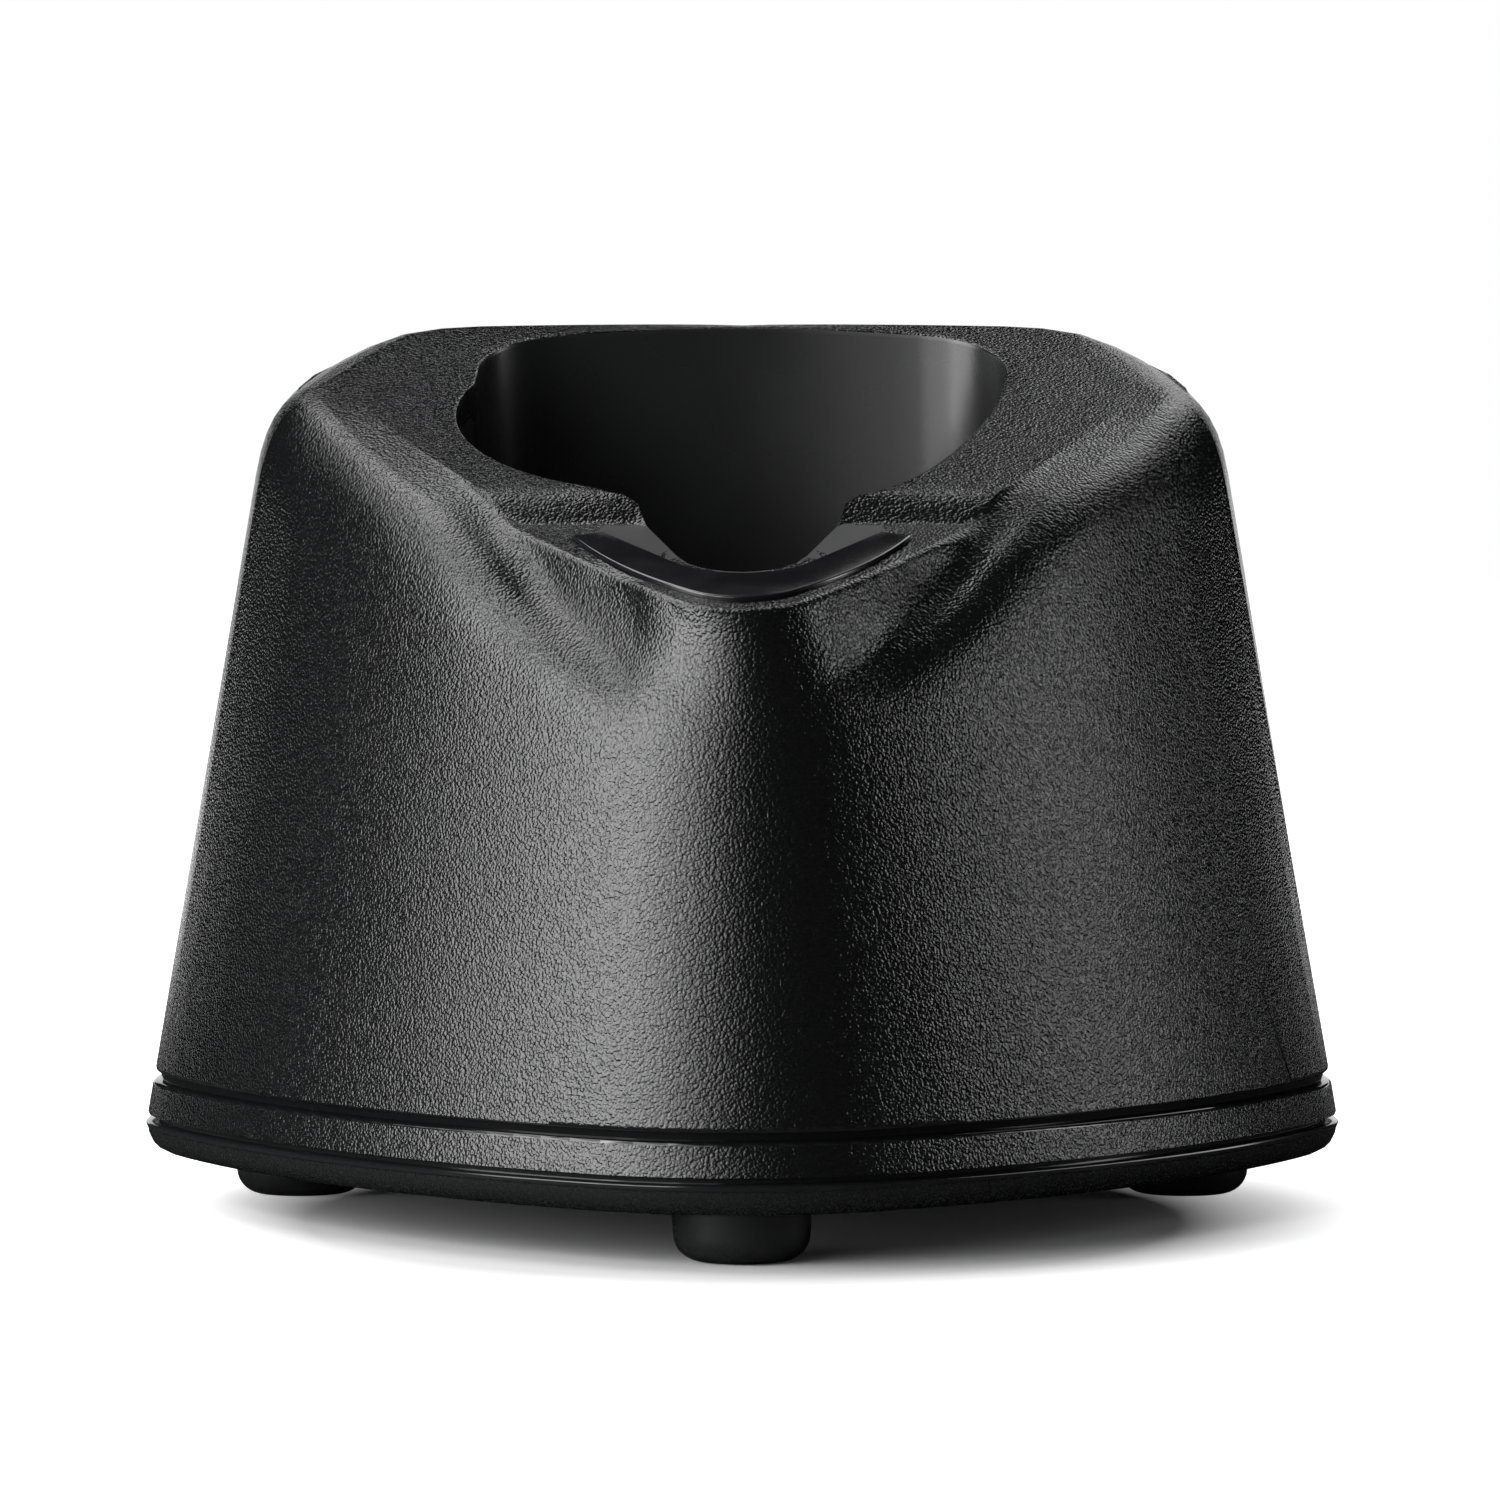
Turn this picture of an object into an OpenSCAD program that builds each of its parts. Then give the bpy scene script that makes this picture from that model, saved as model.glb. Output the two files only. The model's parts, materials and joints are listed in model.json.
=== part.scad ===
/* [Base outline] */
// Width of the base at its widest
base_w = 116; // [108:1:122]
// Depth of the base from front to back
base_d = 93; // [89:1:98]
// Plan radius of the rear corners
corner_r = 27; // [25:1:29]
// Plan radius of the front
front_r = 25; // [22:1:28]
// Plan radius of the long side curves
side_r = 111; // [100:1:130]
// Plan radius of the nearly flat back
back_r = 420; // [300:10:600]
// Lean of the walls from upright
draft = 9.75; // [9:0.05:10.5]

/* [Heights] */
// Height of the rubber feet below the base pan
foot_h = 5; // [4:0.1:6]
// Height at which the base pan is widest
pan_wide_z = 7.5; // [7.2:0.1:7.8]
// Height of the seam between the base pan and the trim band
pan_seam_z = 8.5; // [8.3:0.1:8.8]
// Height of the trim band's face
band_h = 4.15; // [3.6:0.05:4.6]
// Height of the back edge of the housing
stand_h = 85.1; // [80:0.1:90]

/* [Housing] */
// Wall of the housing
wall = 2.2; // [1.8:0.1:2.6]
// Wall of the socket tube
tube_wall = 1.8; // [1.4:0.1:2]
// Slope of the top towards the front
deck_slope = 19.5; // [18.5:0.1:20.5]
// Height of the chin, where the folds meet at the front
chin_z = 45.5; // [43:0.5:48]
// Rise of the folds from the chin, from level
fold_slope = 33.4; // [32:0.1:35]
// Depth of the steep drop round the collar
collar_drop = 2.6; // [1.6:0.1:3.2]
// Softness of the folds
fold_soft = 9; // [6:0.5:11]
// Softness of the shoulders at the back
shoulder_soft = 9; // [6:0.5:11]
// Height of the underside of the socket tube
tube_z = 26; // [25:0.1:28]

/* [Collar and ledge] */
// Half the width of the collar at its rear corners
collar_hw = 38.7; // [38:0.1:39.4]
// Plan radius of the collar's rear corners
collar_corner_r = 13.7; // [11:0.1:16]
// Plan radius of the collar's sides
collar_side_r = 236; // [180:2:300]
// Plan radius of the ledge's nose
nose_r = 8; // [7.4:0.1:8.6]
// Plan radius of the light strip's front line at the nose
strip_r = 7.2; // [6.8:0.1:7.6]
// Plan radius of the light strip's front line along the flanks
flank_r = 39.4; // [37:0.2:42]
// Half the angle over which the light strip is tightly bent
nose_a = 40; // [36:1:44]
// Height of the collar's nose
nose_z = 59.7; // [58.5:0.1:61]
// Slope of the ledge in front of the notch
ledge_slope = 16.4; // [15.6:0.1:17.2]
// Distance from the nose back to the rear of the ledge
ledge_len = 24; // [23:0.1:25]
// Slope of the step between ledge and collar
step_slope = 46; // [40:1:55]

/* [Socket] */
// Width of the socket opening
socket_w = 51.4; // [50:0.1:52]
// Depth of the socket opening without its notch
socket_d = 45.4; // [44:0.1:46]
// Thickness of the rim behind the socket
back_rim = 1.8; // [1.6:0.1:2.2]
// Plan radius of the socket's rear corners
socket_corner_r = 9.6; // [8.5:0.1:10.5]
// Plan radius of the socket's front
socket_front_r = 21; // [19.5:0.1:22]
// Plan radius of the socket's back
socket_back_r = 95; // [60:5:200]
// Plan radius of the socket's sides
socket_side_r = 58; // [54:1:66]
// Radius of the notch's round end
notch_r = 6.3; // [5.5:0.1:6.8]
// Distance from the nose to the end of the notch
ledge_gap = 10.7; // [10.2:0.1:11.2]
// Half the width of the notch at the socket
notch_hw = 9.7; // [9:0.1:10.2]
// Radius of the pocket in the socket's left side
pocket_r = 19.1; // [18:0.1:20]
// Distance of the pocket's centre from the middle
pocket_x = 8.3; // [7.6:0.1:8.8]

/* [Light strip] */
// Distance from the nose to the light strip
strip_margin = 2.6; // [2.4:0.1:3]
// Width of the light strip at its ends
strip_w = 3; // [2.6:0.1:3.4]
// Sweep of the light strip's flanks
strip_sweep = 28; // [24:1:29]
// Distance between the notch and the light strip
notch_margin = 1.7; // [1.4:0.1:2]
// How far the lens stands above the ledge
lens_proud = 0.45; // [0.2:0.05:0.7]
// Depth of the lens in the ledge
lens_sunk = 1.1; // [0.8:0.1:1.3]
// Width of the light guide
guide_w = 1.6; // [1.2:0.1:1.9]
// Depth of the light guide below the ledge
guide_h = 5.4; // [4.6:0.1:6]
// Thickness of the light's circuit board
led_board_t = 1; // [0.8:0.1:1.2]
// Size of each light chip
led_size = 1.4; // [1:0.1:1.6]

/* [Feet] */
// Diameter of each foot
foot_d = 13; // [11:0.5:14]
// Distance of the front foot's centre from the front
front_foot_in = 11.5; // [10.5:0.5:13]
// Distance of a rear foot's centre from the side
rear_foot_side = 14.8; // [14:0.1:16]
// Distance of a rear foot's centre from the back
rear_foot_back = 22.5; // [21.5:0.5:24.5]
// Diameter of the peg that holds a foot
foot_peg_d = 5; // [4:0.1:5.6]
// Play of the pegs in their holes
peg_play = 0.05; // [0.03:0.01:0.08]

/* [Inside] */
// Thickness of the base pan's floor
pan_t = 2.2; // [1.8:0.1:2.6]
// Height of the board above the pan's floor
board_lift = 3.8; // [3:0.1:4.4]
// Width of the main circuit board
board_w = 50; // [46:1:54]
// Depth of the main circuit board
board_d = 27; // [25:1:28]
// Thickness of the main circuit board
board_t = 1.6; // [1:0.1:2]
// Thickness of the steel ballast plate
ballast_t = 3; // [2:0.1:3.6]
// Width of the ballast plate
ballast_w = 60; // [50:1:62]
// Depth of the ballast plate
ballast_d = 24; // [20:1:26]
// Thickness of the socket's floor
floor_t = 2.6; // [2:0.1:3]
// Height of the contact block above the socket's floor
block_h = 6; // [5:0.1:7]
// Width of the contact block
block_w = 26; // [25:0.5:28]
// Depth of the contact block
block_d = 10; // [9:0.5:12]

/* [Contacts] */
// Distance between the two contact pins
pin_gap = 15; // [14:0.1:16]
// Diameter of a contact pin's tip
pin_d = 3; // [2.6:0.1:3.2]
// Travel of a contact pin
pin_travel = 1.5; // [1:0.1:1.6]
// How far a contact pin stands out when it is pressed down
pin_proud = 0.9; // [0.7:0.1:1.2]
// Running clearance round a contact pin
pin_play = 0.05; // [0.03:0.01:0.08]
// Diameter of a contact pin's barrel
barrel_d = 6; // [5.8:0.1:6.4]
// Length of a barrel
barrel_l = 11.6; // [11:0.1:12.4]

/* [Power inlet] */
// Height of the inlet's axis above the circuit board
jack_rise = 4.7; // [4.6:0.1:5]
// Bore of the inlet
jack_bore_d = 5.6; // [5:0.1:6]
// Diameter of the inlet's round nose
jack_nose_d = 8.6; // [8:0.1:8.8]
// Diameter of the inlet's centre pin
jack_pin_d = 2.1; // [1.7:0.1:2.5]
// Depth of the inlet's bore
jack_depth = 9.5; // [8.5:0.1:10]
// Clearance of the inlet in the housing's hole
jack_clear = 0.3; // [0.2:0.05:0.4]

/* [Screws] */
// Diameter of the base screws
base_screw_d = 3; // [2.6:0.1:3.2]
// Length of the base screws
base_screw_l = 14; // [12:0.5:16]
// Diameter of the small screws
small_screw_d = 2.2; // [2:0.1:2.4]
// Length of the small screws
small_screw_l = 6; // [5:0.5:7]

/* [Hidden] */
$fn = 48;

// Columns round the half of the loft: across the notch, then on to the back
notch_cols = 12;
rest_cols = 34;
sweep_cols = 96;

// Plan centre of the loft
hub = [0, 6];
back_y = base_d / 2;
front_y = -base_d / 2;
shell_z = pan_seam_z + band_h;
lean = tan(draft);
top_back_y = back_y - inset(stand_h);

function inset(z) = (z - pan_wide_z) * lean;
function way(a) = [sin(a), -cos(a)];
function mix(a, b, t) = a + (b - a) * t;
function ease(t) = let(u = min(1, max(0, t))) u * u * (3 - 2 * u);
function clamp(v, lo, hi) = min(max(v, lo), hi);
function soft_min(a, b, k) = (a + b - sqrt((a - b) * (a - b) + k * k)) / 2;

// Half of a rounded triangle: its front, side, corner and back arcs as [centre x, centre y, radius]
function egg(hw, yb, yf, rc, rs, rf, rb) =
    let(
        xc = hw - rc,
        yc = yb - rb + sqrt(pow(rb - rc, 2) - xc * xc),
        fy = yf + rf,
        d = norm([xc, yc - fy]),
        to_front = [-xc, fy - yc] / d,
        along = (pow(rs - rc, 2) - pow(rs - rf, 2) + d * d) / (2 * d),
        across = sqrt(pow(rs - rc, 2) - along * along),
        s = [xc, yc] + to_front * along + across * [to_front[1], -to_front[0]]
    )
    [[0, fy, rf], [s[0], s[1], rs], [xc, yc, rc], [0, yb - rb, rb]];

function centre(arc) = [arc[0], arc[1]];
// Where a small arc meets a large one when both are drawn in by t
function meeting(small, large, t) =
    let(n = centre(small) - centre(large))
    centre(small) + n / norm(n) * (small[2] - t);
function bearing(p) = atan2(abs(p[0]), hub[1] - p[1]);
function arc_reach(arc, t, a) =
    let(w = centre(arc) - hub, k = w * way(a))
    k + sqrt(pow(arc[2] - t, 2) - w * w + k * k);
// Distance from the hub to the outline drawn in by t, at bearing a
function reach(arcs, t, a) =
    let(
        b = abs(a),
        front_end = bearing(meeting(arcs[0], arcs[1], t)),
        side_end = bearing(meeting(arcs[2], arcs[1], t)),
        corner_end = bearing(meeting(arcs[2], arcs[3], t)),
        i = b < front_end ? 0 : b < side_end ? 1 : b < corner_end ? 2 : 3
    )
    arc_reach(arcs[i], t, b);

base_arcs = egg(base_w / 2, back_y, front_y, corner_r, side_r, front_r, back_r);
function base_reach(a, t) = reach(base_arcs, t, a);
function base_point(a, t) = hub + base_reach(a, t) * way(a);

// The socket, its notch and the pocket in its left side
socket_back_y = top_back_y - back_rim;
socket_front_y = socket_back_y - socket_d;
socket_arcs = egg(
    socket_w / 2, socket_back_y, socket_front_y,
    socket_corner_r, socket_side_r, socket_front_r, socket_back_r
);
notch_end_y = front_y + inset(nose_z) + ledge_gap;
notch_centre = [0, notch_end_y + notch_r];
notch_corner_y = socket_front_y + socket_front_r - sqrt(pow(socket_front_r, 2) - pow(notch_hw, 2));
notch_corner = [notch_hw, notch_corner_y];
notch_corner_a = bearing(notch_corner);
// The notch's straight side runs from its corner to a tangent point on the round end
notch_span = norm(notch_corner - notch_centre);
notch_side_a = atan2(notch_corner[1] - notch_centre[1], notch_corner[0]) - acos(notch_r / notch_span);
notch_tangent = notch_centre + notch_r * [cos(notch_side_a), sin(notch_side_a)];
notch_tangent_a = bearing(notch_tangent);
function line_reach(p, q, a) =
    let(d = q - p, u = way(a), w = p - hub)
    (w[0] * d[1] - w[1] * d[0]) / (u[0] * d[1] - u[1] * d[0]);
function notch_reach(a) =
    let(w = notch_centre - hub, k = w * way(a))
    a < notch_tangent_a
        ? k + sqrt(notch_r * notch_r - w * w + k * k)
        : line_reach(notch_tangent, notch_corner, a);
pocket_y = socket_back_y - 21.8;
pocket_arc = [pocket_x, pocket_y, pocket_r];
function socket_reach(a) =
    abs(a) < notch_corner_a ? notch_reach(abs(a))
        : a > 0 ? reach(socket_arcs, 0, a)
        : max(reach(socket_arcs, 0, a), arc_reach(pocket_arc, 0, -a));

// The collar round the socket, whose nose carries the ledge
nose_y = front_y + inset(nose_z);
collar_arcs = egg(collar_hw, top_back_y - 1, nose_y, collar_corner_r, collar_side_r, nose_r, back_r);
function collar_reach(a) = reach(collar_arcs, 0, a);
// Front line of the light strip: a tight arc over the nose and a wide one along each flank
nose_arc = [0, nose_y + strip_margin + strip_r, strip_r];
flank_arc = [
    (strip_r - flank_r) * sin(nose_a), nose_arc[1] + (flank_r - strip_r) * cos(nose_a), flank_r
];

// Heights of the top over the plan
deck_rise = tan(deck_slope);
ledge_rise = tan(ledge_slope);
step_rise = tan(step_slope);
ledge_back_y = nose_y + ledge_len;
ledge_back_z = nose_z + ledge_len * ledge_rise;
function deck_z(y) = stand_h - (top_back_y - y) * deck_rise;
function ledge_z(y) = nose_z + (y - nose_y) * ledge_rise;
function step_z(y) = ledge_back_z + (y - ledge_back_y) * step_rise;
step_top_y = (deck_z(0) - ledge_back_z + ledge_back_y * step_rise) / (step_rise - deck_rise);
function top_z(y) = max(ledge_z(y), min(deck_z(y), step_z(y)));
function edge_z(y) = -soft_min(-ledge_z(y), -soft_min(deck_z(y), step_z(y), 2), 0.8);
function y_at(r, a) = hub[1] - r * cos(a);
function reach_of_y(y, a) = cos(a) > 0.02 ? (hub[1] - y) / cos(a) : 999;

// The wall's upper edge: the folds in front, the shoulder behind
function wall_reach(a, z) = base_reach(a, inset(z));
function fold_rise_z(a) =
    let(x = wall_reach(a, chin_z + 12) * sin(abs(a)))
    chin_z + x * tan(fold_slope) + 43 * ease((abs(a) - 88) / 40);
function fold_z(a) =
    let(
        first = deck_z(y_at(wall_reach(a, 75), a)),
        y = y_at(wall_reach(a, first), a),
        shoulder = deck_z(y)
    )
    soft_min(shoulder, fold_rise_z(a), 2);

// Height up to which there is room between the socket tube and the housing's wall
function room_z(a, rs) =
    let(r = base_reach(a, 0), drawn_in = (r - base_reach(a, 10)) / 10)
    pan_wide_z + (r - rs - tube_wall - wall - 1.6) / (drawn_in * lean) + 0.6;
// Distance between neighbouring rings where the rim is thin
tight = 0.16;
// Depth of the housing's own edge round the socket, below which the socket tube begins
skirt = wall + 0.6;
// Weld gap between the socket tube and its seat, at its inner and its outer edge
seam = 0.08;
weld = 0.5;
function column(a) =
    let(
        b = abs(a),
        front = 1 - ease((b - 24) / 36),
        zf = fold_z(a),
        rf = wall_reach(a, zf),
        rs = socket_reach(a),
        least = rs + 0.3 * (rf - rs),
        most = rf - tight * 4,
        rear = ease((b - 98.5) / 13),
        rc = mix(clamp(collar_reach(a), least, most), least, rear),
        zc = edge_z(y_at(rc, a)),
        zs = top_z(y_at(rs, a)),
        share = mix(mix(0.8, 0.24, ease(b / 42)), 0.12, ease((b - 70) / 40)),
        drop = collar_drop * ease(b / 30) * front,
        rv = mix(rc, rf, share),
        zv = mix(zc, zf, share) - drop,
        r_back = clamp(reach_of_y(ledge_back_y, a), rs + 2 * tight, rc - 2 * tight),
        r_step = clamp(reach_of_y(step_top_y, a), rs + tight, r_back - tight)
    )
    [
        [wall_reach(a, shell_z) - 0.3, shell_z],
        [wall_reach(a, shell_z + 0.3), shell_z + 0.3],
        [rf, zf],
        [rv, zv],
        [rc, zc],
        [r_back, top_z(y_at(r_back, a))],
        [r_step, top_z(y_at(r_step, a))],
        [rs, zs],
        [rs, min(zs - skirt, zc - wall, room_z(a, rs))]
    ];

// How far each corner of a column is rounded, the share it may take of the runs
// before and after it, and its number of steps
function softness(a) =
    let(
        b = abs(a),
        rear = ease((b - 75) / 35),
        thin = ease((b - 113.5) / 21),
        shoulder = mix(mix(fold_soft, shoulder_soft, rear), 0.4, thin)
    )
    [0, 0.2, shoulder, 5, mix(0.7, 5, ease((b - 44) / 25)), 0.3, 3.5, 0.45, 0];
takes = [
    [0, 0], [0.4, 0.1], [0.41, 0.69], [0.3, 0.5], [0.45, 0.4], [0.3, 0.15], [0.8, 0.5], [0.4, 0.3], [0, 0]
];
corner_steps = [0, 1, 8, 4, 4, 1, 3, 2, 0];
function rounded(p, s) = [
    for (i = [0 : len(p) - 1])
        if (corner_steps[i] == 0) p[i]
        else
            let(
                before = p[i - 1] - p[i],
                after = p[i + 1] - p[i],
                n = corner_steps[i],
                q0 = p[i] + before * min(s[i] / norm(before), takes[i][0]),
                q2 = p[i] + after * min(s[i] / norm(after), takes[i][1])
            )
            for (k = [0 : n])
                let(t = k / n)
                q0 * (1 - t) * (1 - t) + p[i] * 2 * t * (1 - t) + q2 * t * t
];

// The inside of the housing, from the socket tube's seat over the roof and down the wall
function lining(a) =
    let(
        c = column(a),
        tube_r = c[7][0] + tube_wall,
        most = room_z(a, c[7][0]),
        zf = min(c[2][1] - 2, most - 0.6),
        rw = wall_reach(a, zf) - wall - 0.2,
        rc = clamp(c[4][0] - 1.4, tube_r + 0.3, rw - 0.8),
        zc = min(c[4][1] - wall, c[7][1] - wall, most),
        rv = mix(rc, rw, 0.55),
        zv = min(c[3][1] - wall - 0.5, mix(zc, zf, 0.55))
    )
    [
        [tube_r, c[8][1]],
        [rc, zc],
        [rv, zv],
        [rw, zf],
        [wall_reach(a, shell_z) - wall, shell_z]
    ];

half_bearings = [
    for (i = [0 : notch_cols - 1]) notch_corner_a * i / notch_cols,
    for (i = [0 : rest_cols]) mix(notch_corner_a, 180, i / rest_cols)
];
bearings = concat(
    half_bearings,
    [for (i = [len(half_bearings) - 2 : -1 : 1]) -half_bearings[i]]
);

function ring_place(p, a) = [p[0] * sin(a), hub[1] - p[0] * cos(a), p[1]];
// Closed tube of quads, split in two, from columns of points
function tube_faces(cols, rows) = [
    for (i = [0 : cols - 1])
        for (j = [0 : rows - 1])
            let(
                a = i * rows + j,
                b = ((i + 1) % cols) * rows + j,
                c = ((i + 1) % cols) * rows + (j + 1) % rows,
                d = i * rows + (j + 1) % rows
            )
            each [[a, d, b], [b, d, c]]
];
module loft(columns) {
    rows = len(columns[0]);
    polyhedron(
        points = [for (c = columns) each c],
        faces = tube_faces(len(columns), rows)
    );
}

// A closed profile of [inset, height] points carried round the base outline
module carried(profile) {
    loft([
        for (i = [0 : sweep_cols - 1])
            let(a = 360 * i / sweep_cols - 180)
            [for (p = profile) ring_place([base_reach(a, p[0]), p[1]], a)]
    ]);
}

// A solid between a bottom and a top cap, whose side is an open profile
module capped(profile) {
    rows = len(profile);
    points = [
        for (p = profile)
            for (i = [0 : sweep_cols - 1])
                let(a = 360 * i / sweep_cols - 180)
                ring_place([base_reach(a, p[0]), p[1]], a)
    ];
    sides = [
        for (j = [0 : rows - 2])
            for (i = [0 : sweep_cols - 1])
                let(
                    a = j * sweep_cols + i,
                    b = j * sweep_cols + (i + 1) % sweep_cols,
                    c = b + sweep_cols,
                    d = a + sweep_cols
                )
                each [[a, d, b], [b, d, c]]
    ];
    bottom = [for (i = [0 : sweep_cols - 1]) i];
    top = [for (i = [sweep_cols - 1 : -1 : 0]) (rows - 1) * sweep_cols + i];
    polyhedron(points = points, faces = concat([bottom], sides, [top]));
}

// A round lead through chosen points; side_way is a direction that it never runs along
function along_route(p, i, t) =
    let(
        n = len(p) - 1,
        a = p[max(i - 1, 0)],
        b = p[i],
        c = p[min(i + 1, n)],
        d = p[min(i + 2, n)]
    )
    (2 * b + (c - a) * t + (2 * a - 5 * b + 4 * c - d) * t * t + (3 * b - a - 3 * c + d) * t * t * t) / 2;
function route(p, steps) = [
    for (i = [0 : len(p) - 2])
        for (k = [0 : steps - 1]) along_route(p, i, k / steps),
    p[len(p) - 1]
];
module lead(points, d, steps, sides, side_way) {
    line = route(points, steps);
    n = len(line);
    function unit(v) = v / norm(v);
    function heading(i) = unit(line[min(i + 1, n - 1)] - line[max(i - 1, 0)]);
    rings = [
        for (i = [0 : n - 1])
            let(t = heading(i), u = unit(cross(t, side_way)), v = cross(t, u))
            [
                for (k = [0 : sides - 1])
                    line[i] + d / 2 * (u * cos(360 * k / sides) + v * sin(360 * k / sides))
            ]
    ];
    polyhedron(
        points = [for (r = rings) each r],
        faces = concat(
            [[for (k = [sides - 1 : -1 : 0]) k]],
            [
                for (i = [0 : n - 2])
                    for (k = [0 : sides - 1])
                        let(
                            a = i * sides + k,
                            b = i * sides + (k + 1) % sides,
                            c = b + sides,
                            e = a + sides
                        )
                        each [[a, b, e], [b, c, e]]
            ],
            [[for (k = [0 : sides - 1]) (n - 1) * sides + k]]
        )
    );
}

// Places of the screws, bosses and posts
screw_play = 0.05;
boss_r = 3.4;
boss_inset = 8.6;
boss_top_z = 30;
boss_as = [38, -38, 127, -127];
boss_places = [for (a = boss_as) base_point(a, boss_inset)];
base_head_d = 5.6;
base_head_h = 2.2;
head_seat_z = foot_h + 4.5;
pan_post_r = 4.6;
ear_as = [62, -74, 140, -140];
ear_r = 3;
ear_top_z = tube_z + 9;
function ear_place(a) = hub + (socket_reach(a) + ear_r + 1) * way(a);
ear_places = [for (a = ear_as) ear_place(a)];
pan_floor_z = foot_h + pan_t;
board_z = pan_floor_z + board_lift;
board_top_z = board_z + board_t;
board_back_y = back_y - 8.5;
board_mid_y = board_back_y - board_d / 2;
board_screw_in = 3.2;
board_places = [
    for (sx = [-1, 1])
        for (sy = [-1, 1])
            [sx * (board_w / 2 - board_screw_in), board_mid_y + sy * (board_d / 2 - board_screw_in)]
];
ballast_gap = 2;
ballast_mid_y = board_mid_y - board_d / 2 - ballast_gap - ballast_d / 2;
ballast_top_z = pan_floor_z + ballast_t;
ballast_screw_x = ballast_w / 2 - 5;
ballast_places = [for (sx = [-1, 1]) [sx * ballast_screw_x, ballast_mid_y]];
post_r = 2.6;
small_head_d = 4;
small_head_h = 1.4;
foot_places = [
    [0, front_y + front_foot_in],
    [-base_w / 2 + rear_foot_side, back_y - rear_foot_back],
    [base_w / 2 - rear_foot_side, back_y - rear_foot_back]
];
rib_in = wall + inset(shell_z + 2) + 0.25;
rib_t = 1.6;
rib_top_z = shell_z + 1.8;
floor_z = tube_z - floor_t;
block_mid = [0, socket_back_y - 19.6];
block_top_z = tube_z + block_h;
block_places = [for (sy = [-1, 1]) block_mid + [0, sy * (block_d / 2 - 2.2)]];
pin_xs = [-pin_gap / 2, pin_gap / 2];
barrel_top_z = block_top_z + 0.8;
barrel_z = barrel_top_z - barrel_l;
barrel_cap = 0.8;
barrel_floor = 1;
flange_d = 4;
flange_h = 1.7;
flange_top_z = barrel_top_z - barrel_cap - 0.1;
spring_z = barrel_z + barrel_floor;
spring_d = 3.5;
spring_wire = 0.45;
spring_turns = 6;
jack_z = board_top_z + jack_rise;
jack_w = 9;
jack_len = 11.5;
jack_nose_len = 2.8;
jack_face_y = back_y - inset(jack_z) - wall - 0.35;

// The ledge's own frame: its origin is the nose, +Y runs up the ledge and +Z leaves it
module on_ledge() {
    translate([0, nose_y, nose_z]) rotate([ledge_slope, 0, 0]) children();
}
// Curves on the ledge run behind the strip's front line, at a distance m, to a sweep along each flank
bend_steps = 8;
sweep_steps = 10;
function on_plan(p) = [p[0], (p[1] - nose_y) / cos(ledge_slope)];
function edge_point(m, a, side) =
    let(
        arc = a < nose_a ? nose_arc : flank_arc,
        p = centre(arc) + (arc[2] - m) * way(a)
    )
    on_plan([side * p[0], p[1]]);
function edge_run(m, sweep) = [
    for (i = [sweep_steps : -1 : 1]) edge_point(m, nose_a + sweep * i / sweep_steps, -1),
    for (i = [bend_steps : -1 : 1]) edge_point(m, nose_a * i / bend_steps, -1),
    for (i = [0 : bend_steps]) edge_point(m, nose_a * i / bend_steps, 1),
    for (i = [1 : sweep_steps]) edge_point(m, nose_a + sweep * i / sweep_steps, 1)
];
function backwards(p) = [for (i = [len(p) - 1 : -1 : 0]) p[i]];
module edge_band(m, w, sweep) {
    polygon(concat(edge_run(m, sweep), backwards(edge_run(m + w, sweep))));
}
// The lens fills the space between the ledge's edge and a curve round the notch
module lens_shape(extra) {
    m = -extra;
    sweep = strip_sweep + extra / flank_r * 57;
    end = edge_point(m + strip_w + 2 * extra, nose_a + sweep, 1);
    r = notch_r + notch_margin - extra;
    mid = on_plan(notch_centre);
    d = end - mid;
    touch = atan2(d[1], d[0]) - acos(r / norm(d));
    polygon(concat(
        edge_run(m, sweep),
        [end],
        [
            for (i = [0 : 14])
                let(a = mix(touch, -180 - touch, i / 14))
                mid + r * [cos(a), sin(a)]
        ],
        [[-end[0], end[1]]]
    ));
}
guide_margin = 0.6;
guide_sweep = strip_sweep - 3;
module guide_shape(extra) {
    edge_band(guide_margin - extra, guide_w + 2 * extra, guide_sweep + extra);
}
led_z = -guide_h - 0.05;
led_h = 0.6;
led_board_margin = guide_margin - 0.4;
led_board_w = guide_w + 1.4;
seat_play = 0.08;

/* The housing and the trim */
module upper_housing() {
    color("#1b1b1c")
    difference() {
        union() {
            loft([
                for (a = bearings)
                    [for (p = concat(rounded(column(a), softness(a)), lining(a))) ring_place(p, a)]
            ]);
            for (p = boss_places)
                translate([p[0], p[1], rib_top_z]) cylinder(r = boss_r, h = boss_top_z - rib_top_z);
        }
        for (p = boss_places)
            translate([p[0], p[1], rib_top_z - 1])
                cylinder(d = base_screw_d + 2 * screw_play, h = base_screw_l - 2);
        on_ledge() translate([0, 0, -lens_sunk]) linear_extrude(lens_sunk + 3) lens_shape(seat_play);
        on_ledge() translate([0, 0, -guide_h - 1]) linear_extrude(guide_h) guide_shape(seat_play);
        translate([0, back_y - 6, jack_z]) rotate([-90, 0, 0])
            cylinder(d = jack_nose_d + 2 * jack_clear, h = 12);
    }
}
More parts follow.
